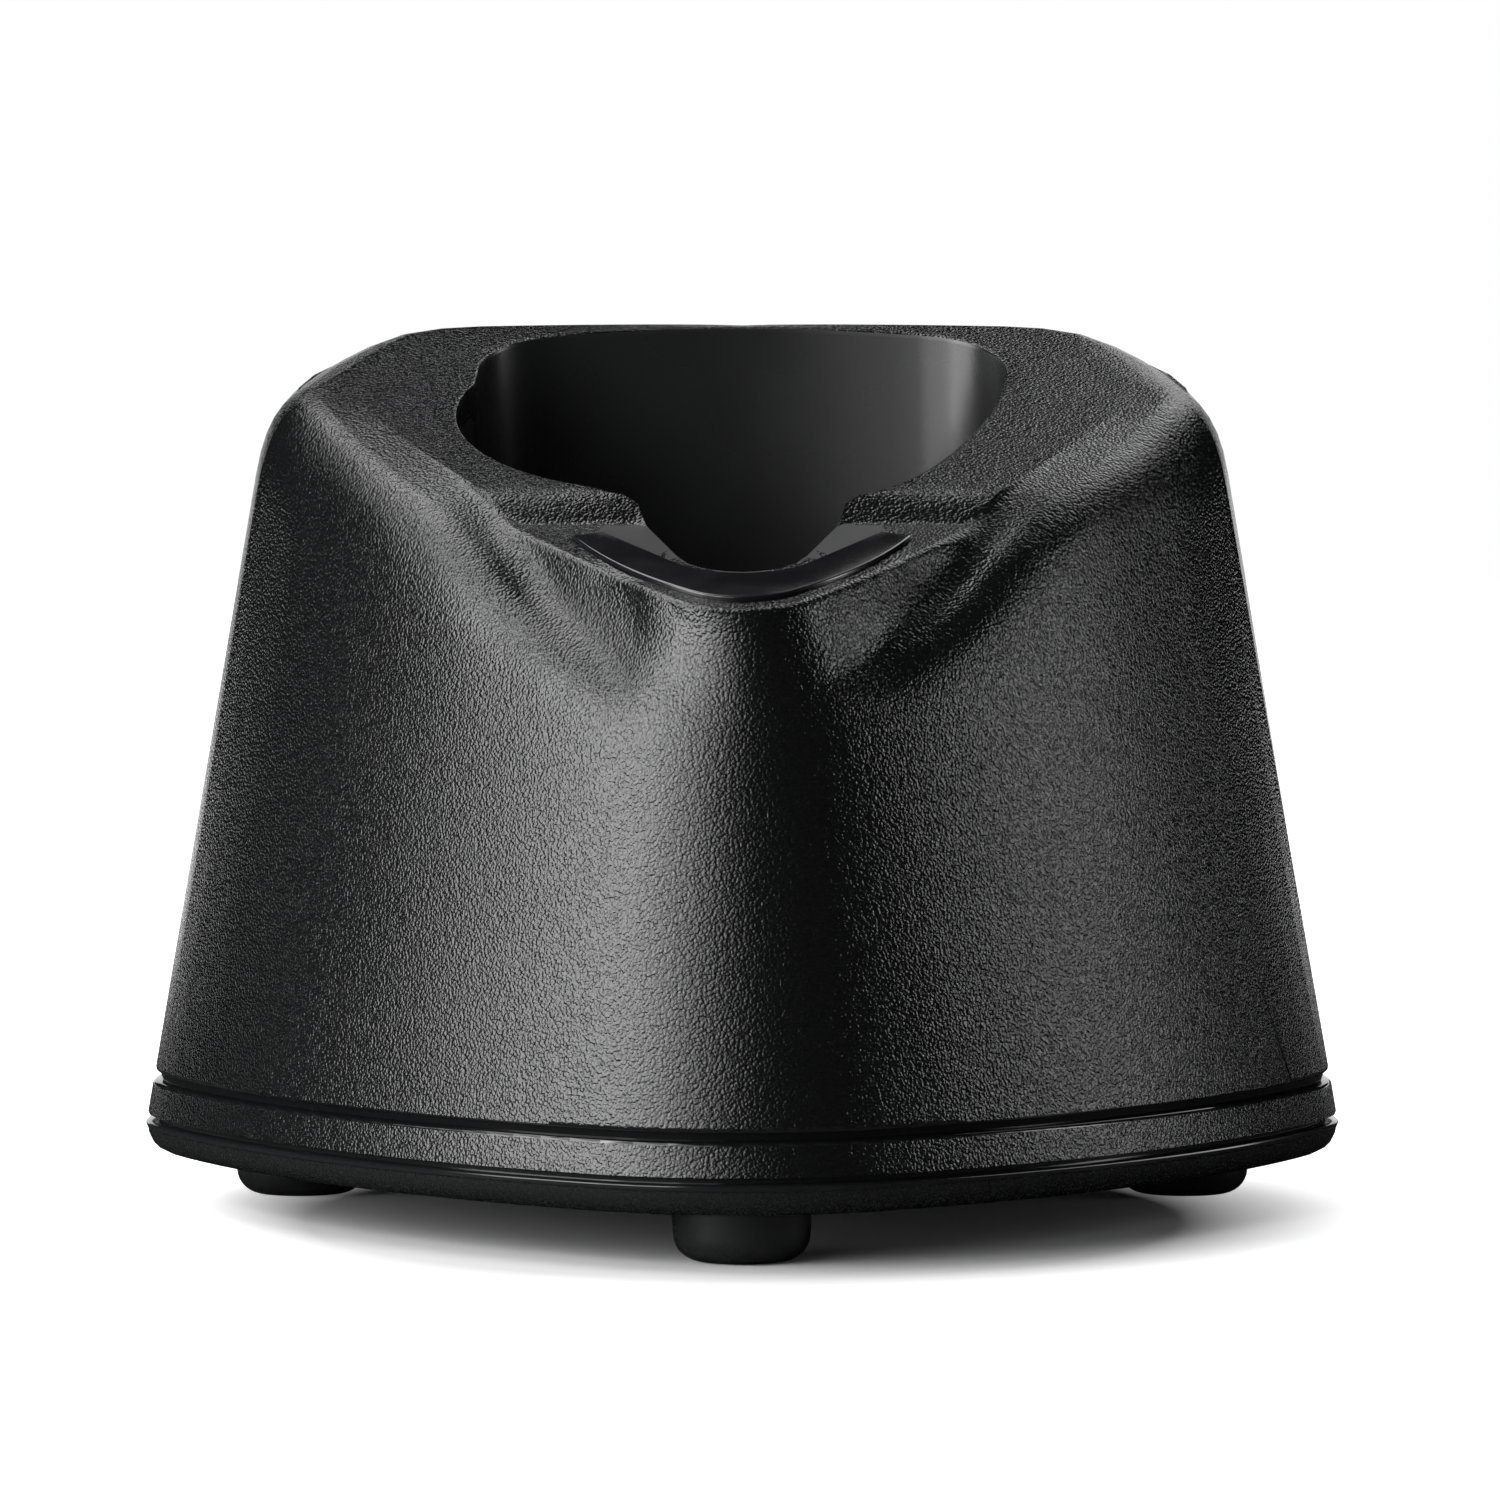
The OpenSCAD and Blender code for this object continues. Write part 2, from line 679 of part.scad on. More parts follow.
// The tube is welded to the underside of the collar, flush with the housing's edge
module socket_tube() {
    color("#1e1e1f")
    difference() {
        union() {
            loft([
                for (a = bearings)
                    let(edge = column(a)[8], seat = lining(a)[0])
                    [
                        for (p = [
                            [seat[0], tube_z],
                            seat - [0, weld],
                            edge - [0, seam],
                            [edge[0], tube_z]
                        ]) ring_place(p, a)
                    ]
            ]);
            for (p = ear_places)
                translate([p[0], p[1], tube_z]) cylinder(r = ear_r, h = ear_top_z - tube_z);
        }
        for (p = ear_places)
            translate([p[0], p[1], tube_z - 1])
                cylinder(d = small_screw_d + 2 * screw_play, h = small_screw_l + 1);
    }
}

module trim_band() {
    neck = 1.5;
    face_z = pan_seam_z + 0.12;
    edge_z0 = shell_z - 1.2;
    color("#1d1d1e")
    carried([
        [0.6, pan_seam_z],
        [inset(face_z), face_z],
        [inset(edge_z0), edge_z0],
        [inset(edge_z0) + 0.14, edge_z0 + 0.27],
        [inset(edge_z0) + 0.45, edge_z0 + 0.4],
        [neck, edge_z0 + 0.5],
        [neck, shell_z],
        [rib_in - 0.25, shell_z],
        [rib_in - 0.25, pan_seam_z]
    ]);
}

pan_edge_r = 2.3;
pan_side_in = 0.15;
pan_profile = concat(
    [
        for (i = [0 : 5])
            let(a = 18 * i)
            [pan_side_in + pan_edge_r * (1 - sin(a)), foot_h + pan_edge_r * (1 - cos(a))]
    ],
    [
        [0, foot_h + pan_edge_r + 0.15],
        [0, foot_h + pan_edge_r + 0.45],
        [0.18, foot_h + pan_edge_r + 0.63],
        [0.5, foot_h + pan_edge_r + 0.72],
        [1.1, foot_h + pan_edge_r + 0.76],
        [1.1, pan_seam_z],
        [rib_in, pan_seam_z],
        [rib_in, rib_top_z - 0.4],
        [rib_in + 0.4, rib_top_z],
        [rib_in + rib_t, rib_top_z],
        [rib_in + rib_t, pan_floor_z]
    ]
);
module base_pan() {
    color("#202021")
    difference() {
        union() {
            capped(pan_profile);
            for (p = boss_places)
                translate([p[0], p[1], pan_floor_z - 0.5])
                    cylinder(r = pan_post_r, h = rib_top_z - pan_floor_z + 0.5);
            for (p = board_places)
                translate([p[0], p[1], pan_floor_z - 0.5]) cylinder(r = post_r, h = board_lift + 0.5);
        }
        for (p = boss_places) {
            translate([p[0], p[1], foot_h - 1])
                cylinder(d = base_head_d + 0.6, h = head_seat_z - foot_h + 1);
            translate([p[0], p[1], foot_h]) cylinder(d = base_screw_d + 0.4, h = rib_top_z);
        }
        for (p = board_places)
            translate([p[0], p[1], board_z + board_t - small_screw_l - 0.4])
                cylinder(d = small_screw_d + 2 * screw_play, h = small_screw_l);
        for (p = ballast_places)
            translate([p[0], p[1], ballast_top_z - small_screw_l + 1])
                cylinder(d = small_screw_d + 2 * screw_play, h = small_screw_l);
        for (p = foot_places)
            translate([p[0], p[1], foot_h - 1]) cylinder(d = foot_peg_d + 2 * peg_play, h = pan_t + 2);
        translate([0, back_y - 8, jack_z])
            rotate([-90, 0, 0]) cylinder(d = jack_nose_d + 2 * jack_clear, h = 9);
    }
}

/* The feet: each is one piece of rubber with a peg through the pan */
foot_edge_r = 2.2;
foot_top_r = foot_d / 2;
foot_low_r = foot_top_r - 0.35;
barb_r = foot_peg_d / 2 + 0.7;
module foot(p) {
    color("#2b2c2d")
    translate([p[0], p[1], 0])
    rotate_extrude($fn = 64)
        polygon(concat(
            [[0, 0]],
            [
                for (i = [0 : 8])
                    let(a = 11.25 * i)
                    [foot_low_r - foot_edge_r * (1 - sin(a)), foot_edge_r * (1 - cos(a))]
            ],
            [
                [foot_top_r, foot_h],
                [foot_peg_d / 2, foot_h],
                [foot_peg_d / 2, pan_floor_z],
                [barb_r, pan_floor_z],
                [foot_peg_d / 2 - 0.6, pan_floor_z + 2.4],
                [0, pan_floor_z + 2.4]
            ]
        ));
}
module front_foot() { foot(foot_places[0]); }
module left_foot() { foot(foot_places[1]); }
module right_foot() { foot(foot_places[2]); }

/* The light in the ledge */
module light_lens() {
    color("#0b0b0d")
    on_ledge() translate([0, 0, -lens_sunk]) linear_extrude(lens_sunk + lens_proud) lens_shape(0);
}
module light_guide() {
    color("#dfe6ea")
    on_ledge() {
        translate([0, 0, -guide_h]) linear_extrude(guide_h - lens_sunk) guide_shape(0);
        for (side = [-1, 1])
            let(tip = edge_point(guide_margin + guide_w / 2, nose_a + guide_sweep - 1.5, side))
                translate(concat(tip, -guide_h - led_h - 0.05)) cylinder(d = guide_w, h = led_h + 1.2);
    }
}
module led_board() {
    color("#1f5a34")
    on_ledge() translate([0, 0, led_z - led_h - led_board_t])
        linear_extrude(led_board_t) edge_band(led_board_margin, led_board_w, guide_sweep + 1);
}
led_as = [10, 30, nose_a + 9, nose_a + guide_sweep - 8];
module leds() {
    color("#e9e3b4")
    on_ledge()
    for (side = [-1, 1])
        for (a = led_as)
            translate(concat(edge_point(guide_margin + guide_w / 2, a, side), led_z - led_h))
                rotate([0, 0, side * a])
                    translate([-led_size / 2, -led_size / 2, 0]) cube([led_size, led_size, led_h]);
}

/* The socket's floor and the contacts */
module socket_floor() {
    color("#232324")
    difference() {
        union() {
            translate([0, 0, floor_z]) linear_extrude(floor_t)
                polygon([for (a = bearings) hub + (socket_reach(a) + tube_wall) * way(a)]);
            for (p = ear_places)
                translate([p[0], p[1], floor_z]) cylinder(r = ear_r, h = floor_t);
        }
        for (p = ear_places)
            translate([p[0], p[1], floor_z - 1]) cylinder(d = small_screw_d + 0.3, h = floor_t + 2);
        for (p = block_places)
            translate([p[0], p[1], floor_z - 1]) cylinder(d = small_screw_d + 0.3, h = floor_t + 2);
        for (x = pin_xs)
            translate([x, block_mid[1], floor_z - 1]) cylinder(d = barrel_d + 0.1, h = floor_t + 2);
    }
}
module contact_block() {
    edge = 1.5;
    color("#2a2a2c")
    difference() {
        translate([0, 0, tube_z]) linear_extrude(block_h)
            difference() {
                translate(block_mid - [block_w, block_d] / 2) square([block_w, block_d]);
                for (sx = [-1, 1])
                    for (sy = [-1, 1])
                        translate(block_mid + [sx * block_w, sy * block_d] / 2)
                            rotate([0, 0, 45]) square(edge * sqrt(2), center = true);
            }
        for (x = pin_xs)
            translate([x, block_mid[1], tube_z - 1]) cylinder(d = barrel_d + 0.1, h = block_h + 2);
        for (p = block_places)
            translate([p[0], p[1], tube_z - 1])
                cylinder(d = small_screw_d + 2 * screw_play, h = small_screw_l - floor_t + 1.4);
    }
}
module pin_barrels() {
    color("#c9a24a")
    for (x = pin_xs)
        translate([x, block_mid[1], 0])
            difference() {
                union() {
                    translate([0, 0, barrel_z]) cylinder(d = barrel_d, h = barrel_l);
                    translate([0, 0, floor_z - 0.8]) cylinder(d = barrel_d + 1.2, h = 0.8);
                }
                translate([0, 0, spring_z])
                    cylinder(d = flange_d + 2 * pin_play, h = barrel_l - barrel_floor - barrel_cap);
                translate([0, 0, spring_z]) cylinder(d = pin_d + 2 * pin_play, h = barrel_l);
            }
}
module contact_pin(x) {
    dome = 0.9;
    tip_r = pin_d / 2;
    tip_top_z = barrel_top_z + pin_travel + pin_proud;
    dome_r = (tip_r * tip_r + dome * dome) / (2 * dome);
    color("#d8b55c")
    translate([x, block_mid[1], 0])
    rotate_extrude($fn = 48)
        polygon(concat(
            [
                [0, flange_top_z - flange_h],
                [flange_d / 2, flange_top_z - flange_h],
                [flange_d / 2, flange_top_z],
                [tip_r, flange_top_z]
            ],
            [
                for (i = [0 : 6])
                    let(a = asin(tip_r / dome_r) * (6 - i) / 6)
                    [dome_r * sin(a), tip_top_z - dome_r * (1 - cos(a))]
            ]
        ));
}
module left_contact_pin() { contact_pin(pin_xs[0]); }
module right_contact_pin() { contact_pin(pin_xs[1]); }
module pin_spring(x) {
    low = spring_z + spring_wire / 2;
    high = flange_top_z - flange_h - spring_wire / 2;
    r = (spring_d - spring_wire) / 2;
    count = spring_turns * 12;
    color("#9a9da1")
    lead(
        [
            for (i = [0 : count])
                let(
                    t = i / count,
                    rise = ease((t - 0.08) / 0.84) * 0.2 + clamp((t - 0.1) / 0.8, 0, 1) * 0.8
                )
                [x + r * cos(30 * i), block_mid[1] + r * sin(30 * i), mix(low, high, rise)]
        ],
        spring_wire, 1, 6, [0, 0, 1]
    );
}
module left_pin_spring() { pin_spring(pin_xs[0]); }
module right_pin_spring() { pin_spring(pin_xs[1]); }

/* The boards and what is on them */
module main_board() {
    color("#1c5c38")
    difference() {
        translate([-board_w / 2, board_back_y - board_d, board_z]) cube([board_w, board_d, board_t]);
        for (p = board_places)
            translate([p[0], p[1], board_z - 1]) cylinder(d = small_screw_d + 0.3, h = board_t + 2);
    }
}
chip_w = 7;
chip_h = 1.6;
module charge_chip() {
    color("#151515") {
        translate([-chip_w / 2, board_mid_y - 7, board_top_z + 0.15]) cube([chip_w, chip_w, chip_h]);
        for (side = [-1, 1])
            for (i = [0 : 4])
                translate([side * (chip_w / 2 + 0.4) - 0.5, board_mid_y - 6.5 + i * 1.4, board_top_z])
                    cube([1, 0.6, 0.9]);
    }
}
cap_places = [for (p = [[-14, 10.8], [-14, 18], [-20.8, 14.4]]) [p[0], board_back_y - p[1]]];
cap_d = 6.3;
cap_h = 6.6;
module capacitors() {
    color("#3a3f55")
    for (p = cap_places) {
        translate([p[0], p[1], board_top_z]) cylinder(d = cap_d, h = cap_h);
        translate([p[0], p[1], board_top_z]) cylinder(d = cap_d + 0.5, h = 0.9);
    }
}
coil_place = [14, board_back_y - 12];
coil_w = 7.4;
coil_h = 4.2;
module coil() {
    color("#4a3a30")
    translate([coil_place[0], coil_place[1], board_top_z])
        difference() {
            translate([-coil_w / 2, -coil_w / 2, 0]) cube([coil_w, coil_w, coil_h]);
            translate([0, 0, coil_h - 0.5]) cylinder(d = coil_w - 2, h = 1);
        }
}
socket_xs = [-16.4, 0, 16.4];
plug_w = 6;
plug_d = 4.4;
plug_h = 3.6;
plug_y = board_back_y - board_d + plug_d / 2 + 0.8;
module lead_sockets() {
    color("#e4dfd2")
    for (x = [socket_xs[0], socket_xs[2]])
        translate([x - plug_w / 2, plug_y - plug_d / 2, board_top_z]) cube([plug_w, plug_d, plug_h]);
}
lead_d = 1.1;
// Each lead leaves its barrel, runs level over the board and drops into its plug
module pin_lead(from, end, turns) {
    plug_top = board_top_z + plug_h;
    run_z = plug_top + 1.6;
    lead(
        concat(
            [
                [from[0], from[1], barrel_z - 0.02],
                [from[0], from[1], run_z + 1.6],
                [from[0] - 0.4, from[1], run_z + 0.6],
                [from[0] - 1.4, from[1], run_z + 0.1]
            ],
            [for (t = turns) [t[0], t[1], run_z]],
            [
                [end[0] + 0.9, end[1] - 0.9, run_z - 0.15],
                [end[0] + 0.25, end[1] - 0.25, run_z - 0.4],
                [end[0], end[1], plug_top + 0.75],
                [end[0], end[1], plug_top + 0.22]
            ]
        ),
        lead_d, 3, 8, [-0.3, 1, 0.2]
    );
}
module pin_leads() {
    near = [pin_xs[0], block_mid[1]];
    far = [pin_xs[1], block_mid[1]];
    near_end = [socket_xs[0] + 1.2, plug_y];
    far_end = [socket_xs[0] - 1.2, plug_y];
    color("#8c2f2b") {
        pin_lead(near, near_end, [near - [3, 0], near_end + [3, -1.7]]);
        pin_lead(
            far,
            far_end,
            [far - [3, 0.8], near + [0, -3.2], far_end + [4.5, -3.4], far_end + [2, -1.9]]
        );
    }
}
module led_lead() {
    plug_top = board_top_z + plug_h;
    color("#d9d4c8")
    for (i = [0, 1]) {
        x = i == 0 ? -0.9 : 0.9;
        end_x = socket_xs[2] + x;
        lead(
            [
                [x, led_lead_y, led_lead_z],
                [x, led_lead_y - 0.4, led_lead_z - 2.5],
                [x + 0.6, nose_y + 1.6, mix(led_lead_z, ballast_top_z, 0.28)],
                [x + 2, nose_y + 1.2, mix(led_lead_z, ballast_top_z, 0.6)],
                [x + 5, nose_y + 8, mix(led_lead_z, ballast_top_z, 0.81)],
                [x + 9, ballast_mid_y - ballast_d / 2 + 1, ballast_top_z + 4.4],
                [x + 12, ballast_mid_y + 3, ballast_top_z + 5],
                [mix(x, end_x, 0.9), plug_y - 5, plug_top + 1.4],
                [end_x, plug_y - 0.6, plug_top + 0.9],
                [end_x, plug_y, plug_top + 0.22]
            ],
            lead_d, 4, 8, [1, -0.4, 0.1]
        );
    }
}
led_low = led_z - led_h - led_board_t;
led_lead_v = edge_point(led_board_margin + led_board_w / 2, 0, 1)[1];
led_lead_y = nose_y + led_lead_v * cos(ledge_slope) - led_low * sin(ledge_slope);
led_lead_z = nose_z + led_lead_v * sin(ledge_slope) + led_low * cos(ledge_slope) - 0.12;

/* The power inlet */
module dc_jack() {
    color("#141414")
    difference() {
        union() {
            translate([-jack_w / 2, jack_face_y - jack_nose_len - jack_len, board_top_z])
                cube([jack_w, jack_len, 2 * jack_rise]);
            translate([0, jack_face_y - jack_nose_len - 1, jack_z]) rotate([-90, 0, 0])
                cylinder(d = jack_nose_d, h = jack_nose_len + 1);
        }
        translate([0, jack_face_y - jack_depth, jack_z]) rotate([-90, 0, 0])
            cylinder(d = jack_bore_d, h = jack_depth + 1);
        translate([0, jack_face_y - jack_depth - 2, jack_z]) rotate([-90, 0, 0])
            cylinder(d = jack_pin_d, h = 4);
    }
}
module jack_pin() {
    color("#d0b060")
    translate([0, jack_face_y - jack_depth - 2, jack_z]) rotate([-90, 0, 0]) {
        cylinder(d = jack_pin_d, h = jack_depth + 1.2);
        translate([0, 0, jack_depth + 1.2]) sphere(d = jack_pin_d);
    }
}
module ballast_plate() {
    color("#8b8d90")
    difference() {
        translate([-ballast_w / 2, ballast_mid_y - ballast_d / 2, pan_floor_z])
            cube([ballast_w, ballast_d, ballast_t]);
        for (p = ballast_places)
            translate([p[0], p[1], pan_floor_z - 1]) cylinder(d = small_screw_d + 0.3, h = ballast_t + 2);
    }
}

/* Screws: a head with a cross recess on a plain shank */
module screw(d, l, head_d, head_h) {
    difference() {
        union() {
            cylinder(d = d, h = l + 0.01);
            translate([0, 0, -head_h]) cylinder(d = head_d, h = head_h);
        }
        for (a = [0, 90])
            rotate([0, 0, a])
                translate([-head_d * 0.3, -head_d * 0.07, -head_h - 1])
                    cube([head_d * 0.6, head_d * 0.14, 1 + head_h * 0.55]);
    }
}
module screws_up(places, z, d, l, head_d, head_h) {
    color("#7d7f83")
    for (p = places)
        translate([p[0], p[1], z]) screw(d, l, head_d, head_h);
}
module screws_down(places, z, d, l, head_d, head_h) {
    color("#7d7f83")
    for (p = places)
        translate([p[0], p[1], z]) rotate([180, 0, 0]) screw(d, l, head_d, head_h);
}
module base_screws() {
    screws_up(boss_places, head_seat_z, base_screw_d, base_screw_l, base_head_d, base_head_h);
}
module ballast_screws() {
    short_l = small_screw_l - 1.6;
    screws_down(ballast_places, ballast_top_z, small_screw_d, short_l, small_head_d, small_head_h);
}
module board_screws() {
    screws_down(board_places, board_top_z, small_screw_d, small_screw_l, small_head_d, small_head_h);
}
module floor_screws() {
    screws_up(ear_places, floor_z, small_screw_d, small_screw_l, small_head_d, small_head_h);
}
module block_screws() {
    screws_up(block_places, floor_z, small_screw_d, small_screw_l, small_head_d, small_head_h);
}

upper_housing();
socket_tube();
trim_band();
base_pan();
front_foot();
left_foot();
right_foot();
light_lens();
light_guide();
led_board();
leds();
led_lead();
socket_floor();
contact_block();
pin_barrels();
left_contact_pin();
right_contact_pin();
left_pin_spring();
right_pin_spring();
pin_leads();
main_board();
charge_chip();
capacitors();
coil();
lead_sockets();
dc_jack();
jack_pin();
ballast_plate();
base_screws();
ballast_screws();
board_screws();
floor_screws();
block_screws();
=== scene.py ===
import json
import math

import bmesh
import bpy
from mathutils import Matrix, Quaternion, Vector

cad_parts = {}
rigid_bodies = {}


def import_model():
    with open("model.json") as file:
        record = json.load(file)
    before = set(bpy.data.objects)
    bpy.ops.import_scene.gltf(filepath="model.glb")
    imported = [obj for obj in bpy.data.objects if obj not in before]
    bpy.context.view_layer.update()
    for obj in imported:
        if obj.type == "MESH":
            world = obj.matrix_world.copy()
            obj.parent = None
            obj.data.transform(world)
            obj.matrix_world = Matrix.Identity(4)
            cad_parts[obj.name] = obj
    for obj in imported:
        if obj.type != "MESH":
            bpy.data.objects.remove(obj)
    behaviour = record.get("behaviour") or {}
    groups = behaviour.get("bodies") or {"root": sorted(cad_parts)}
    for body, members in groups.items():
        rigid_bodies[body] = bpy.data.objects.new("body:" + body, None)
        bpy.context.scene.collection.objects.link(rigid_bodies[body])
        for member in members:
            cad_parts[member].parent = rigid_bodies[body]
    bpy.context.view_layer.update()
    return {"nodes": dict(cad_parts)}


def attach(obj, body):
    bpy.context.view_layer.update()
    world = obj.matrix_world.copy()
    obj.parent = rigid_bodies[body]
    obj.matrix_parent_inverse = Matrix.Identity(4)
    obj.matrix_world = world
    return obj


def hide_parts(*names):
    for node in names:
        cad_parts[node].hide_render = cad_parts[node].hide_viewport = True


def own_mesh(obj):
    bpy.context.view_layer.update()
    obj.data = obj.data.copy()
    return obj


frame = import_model()
nodes = frame["nodes"]
mm = 0.001
mergeWithin = 0.000002  # points of a CAD node closer than this, in m, are one


def onlySelect(piece):
    if bpy.context.object and bpy.context.object.mode != "OBJECT":
        bpy.ops.object.mode_set(mode="OBJECT")
    bpy.ops.object.select_all(action="DESELECT")
    piece.select_set(True)
    bpy.context.view_layer.objects.active = piece


# picks faces in edit mode by the place of their centre and their normal
def pickFaces(piece, wanted):
    if piece.mode != "EDIT":
        bpy.ops.object.mode_set(mode="EDIT")
    bpy.ops.mesh.select_mode(type="FACE")
    bpy.ops.mesh.select_all(action="DESELECT")
    shape = bmesh.from_edit_mesh(piece.data)
    for face in shape.faces:
        if wanted(face.calc_center_median() / mm, face.normal):
            face.select = True
    shape.select_flush_mode()
    bmesh.update_edit_mesh(piece.data)


# drops the picked faces that aren't wanted
def keepFaces(piece, wanted):
    shape = bmesh.from_edit_mesh(piece.data)
    for face in shape.faces:
        if face.select and not wanted(face.calc_center_median() / mm, face.normal):
            face.select = False
    shape.select_flush_mode()
    bmesh.update_edit_mesh(piece.data)


# picks edges in edit mode by their two ends
def pickEdges(piece, wanted):
    if piece.mode != "EDIT":
        bpy.ops.object.mode_set(mode="EDIT")
    bpy.ops.mesh.select_mode(type="EDGE")
    bpy.ops.mesh.select_all(action="DESELECT")
    shape = bmesh.from_edit_mesh(piece.data)
    for edge in shape.edges:
        if wanted(edge.verts[0].co / mm, edge.verts[1].co / mm):
            edge.select = True
    shape.select_flush_mode()
    bmesh.update_edit_mesh(piece.data)


# a merged copy of a CAD node, to be worked on as a piece of its own
def copyNode(nodeName, pieceName):
    mesh = nodes[nodeName].data.copy()
    mesh.name = pieceName
    mesh.materials.clear()
    piece = bpy.data.objects.new(pieceName, mesh)
    bpy.context.scene.collection.objects.link(piece)
    onlySelect(piece)
    bpy.ops.mesh.customdata_custom_splitnormals_clear()
    bpy.ops.object.mode_set(mode="EDIT")
    bpy.ops.mesh.select_all(action="SELECT")
    bpy.ops.mesh.remove_doubles(threshold=mergeWithin)
    bpy.ops.mesh.normals_make_consistent(inside=False)
    bpy.ops.object.mode_set(mode="OBJECT")
    return piece


def smoothPiece(piece, degrees):
    onlySelect(piece)
    bpy.ops.object.shade_smooth_by_angle(angle=math.radians(degrees))


def applyAll(piece):
    onlySelect(piece)
    for modifier in list(piece.modifiers):
        bpy.ops.object.modifier_apply(modifier=modifier.name)


# rounds edges sharper than sharpFrom degrees, by a width in mm
def roundEdges(piece, width, segments):
    sharpFrom = 50
    rounding = piece.modifiers.new("rounding", "BEVEL")
    rounding.width = width * mm
    rounding.segments = segments
    rounding.limit_method = "ANGLE"
    rounding.angle_limit = math.radians(sharpFrom)
    applyAll(piece)


def addFinishes(piece, *finishes):
    for finish in finishes:
        piece.data.materials.append(finish)


# gives the wanted faces the finish at that place in the piece's list
def paintFaces(piece, index, wanted):
    pickFaces(piece, wanted)
    piece.active_material_index = index
    bpy.ops.object.material_slot_assign()


# large faces set the shading, so that a small bevel doesn't tilt the wall beside it
def weighNormals(piece):
    weighing = piece.modifiers.new("weighing", "WEIGHTED_NORMAL")
    weighing.keep_sharp = True
    applyAll(piece)


# every piece ends here: place in its mesh, smooth shading, finish, body and node
def settle(piece, nodeName, body, finish, degrees, weighed=False):
    onlySelect(piece)
    bpy.ops.object.transform_apply(location=True, rotation=True, scale=True)
    smoothPiece(piece, degrees)
    if weighed:
        weighNormals(piece)
    if not piece.data.materials:
        addFinishes(piece, finish)
    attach(piece, body)
    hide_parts(nodeName)
    print("piece", piece.name, len(piece.data.polygons), "faces")


# materials: each starts from a shader and gets its own grain, sheen and change of colour
def startFinish(name, colour, roughness):
    finish = bpy.data.materials.new(name)
    finish.use_nodes = True
    tree = finish.node_tree
    shader = tree.nodes["Principled BSDF"]
    shader.inputs["Base Color"].default_value = (*colour, 1)
    shader.inputs["Roughness"].default_value = roughness
    place = tree.nodes.new("ShaderNodeTexCoord")
    return finish, tree, shader, place.outputs["Object"]


def addNoise(tree, place, scale, detail, distortion=0.0):
    noise = tree.nodes.new("ShaderNodeTexNoise")
    noise.inputs["Scale"].default_value = scale
    noise.inputs["Detail"].default_value = detail
    noise.inputs["Distortion"].default_value = distortion
    tree.links.new(place, noise.inputs["Vector"])
    return noise.outputs["Fac"]


def addCells(tree, place, scale, smoothness):
    cells = tree.nodes.new("ShaderNodeTexVoronoi")
    cells.feature = "SMOOTH_F1"
    cells.inputs["Scale"].default_value = scale
    cells.inputs["Smoothness"].default_value = smoothness
    tree.links.new(place, cells.inputs["Vector"])
    return cells.outputs["Distance"]


def addRange(tree, value, fromLow, fromHigh, toLow, toHigh):
    spread = tree.nodes.new("ShaderNodeMapRange")
    spread.inputs["From Min"].default_value = fromLow
    spread.inputs["From Max"].default_value = fromHigh
    spread.inputs["To Min"].default_value = toLow
    spread.inputs["To Max"].default_value = toHigh
    tree.links.new(value, spread.inputs["Value"])
    return spread.outputs["Result"]


def addMix(tree, factor, colourA, colourB):
    mix = tree.nodes.new("ShaderNodeMix")
    mix.data_type = "RGBA"
    mix.inputs[6].default_value = (*colourA, 1)
    mix.inputs[7].default_value = (*colourB, 1)
    tree.links.new(factor, mix.inputs["Factor"])
    return mix.outputs[2]


def addMath(tree, kind, first, second):
    step = tree.nodes.new("ShaderNodeMath")
    step.operation = kind
    for socket, value in ((step.inputs[0], first), (step.inputs[1], second)):
        if isinstance(value, (int, float)):
            socket.default_value = value
        else:
            tree.links.new(value, socket)
    return step.outputs["Value"]


def addBump(tree, shader, height, distance, strength):
    bump = tree.nodes.new("ShaderNodeBump")
    bump.inputs["Distance"].default_value = distance
    bump.inputs["Strength"].default_value = strength
    tree.links.new(height, bump.inputs["Height"])
    tree.links.new(bump.outputs["Normal"], shader.inputs["Normal"])


# a colour made darker or lighter, never above 1
def shade(colour, factor, lift=0):
    return tuple(min(1, c * factor + lift) for c in colour)


# roughness that wanders with a noise: reach is the part of the noise that is used
def linkSheen(tree, shader, noise, reach, smoothest, roughest):
    tree.links.new(addRange(tree, noise, *reach, smoothest, roughest), shader.inputs["Roughness"])


def linkColour(tree, shader, noise, lowColour, highColour):
    tree.links.new(addMix(tree, noise, lowColour, highColour), shader.inputs["Base Color"])


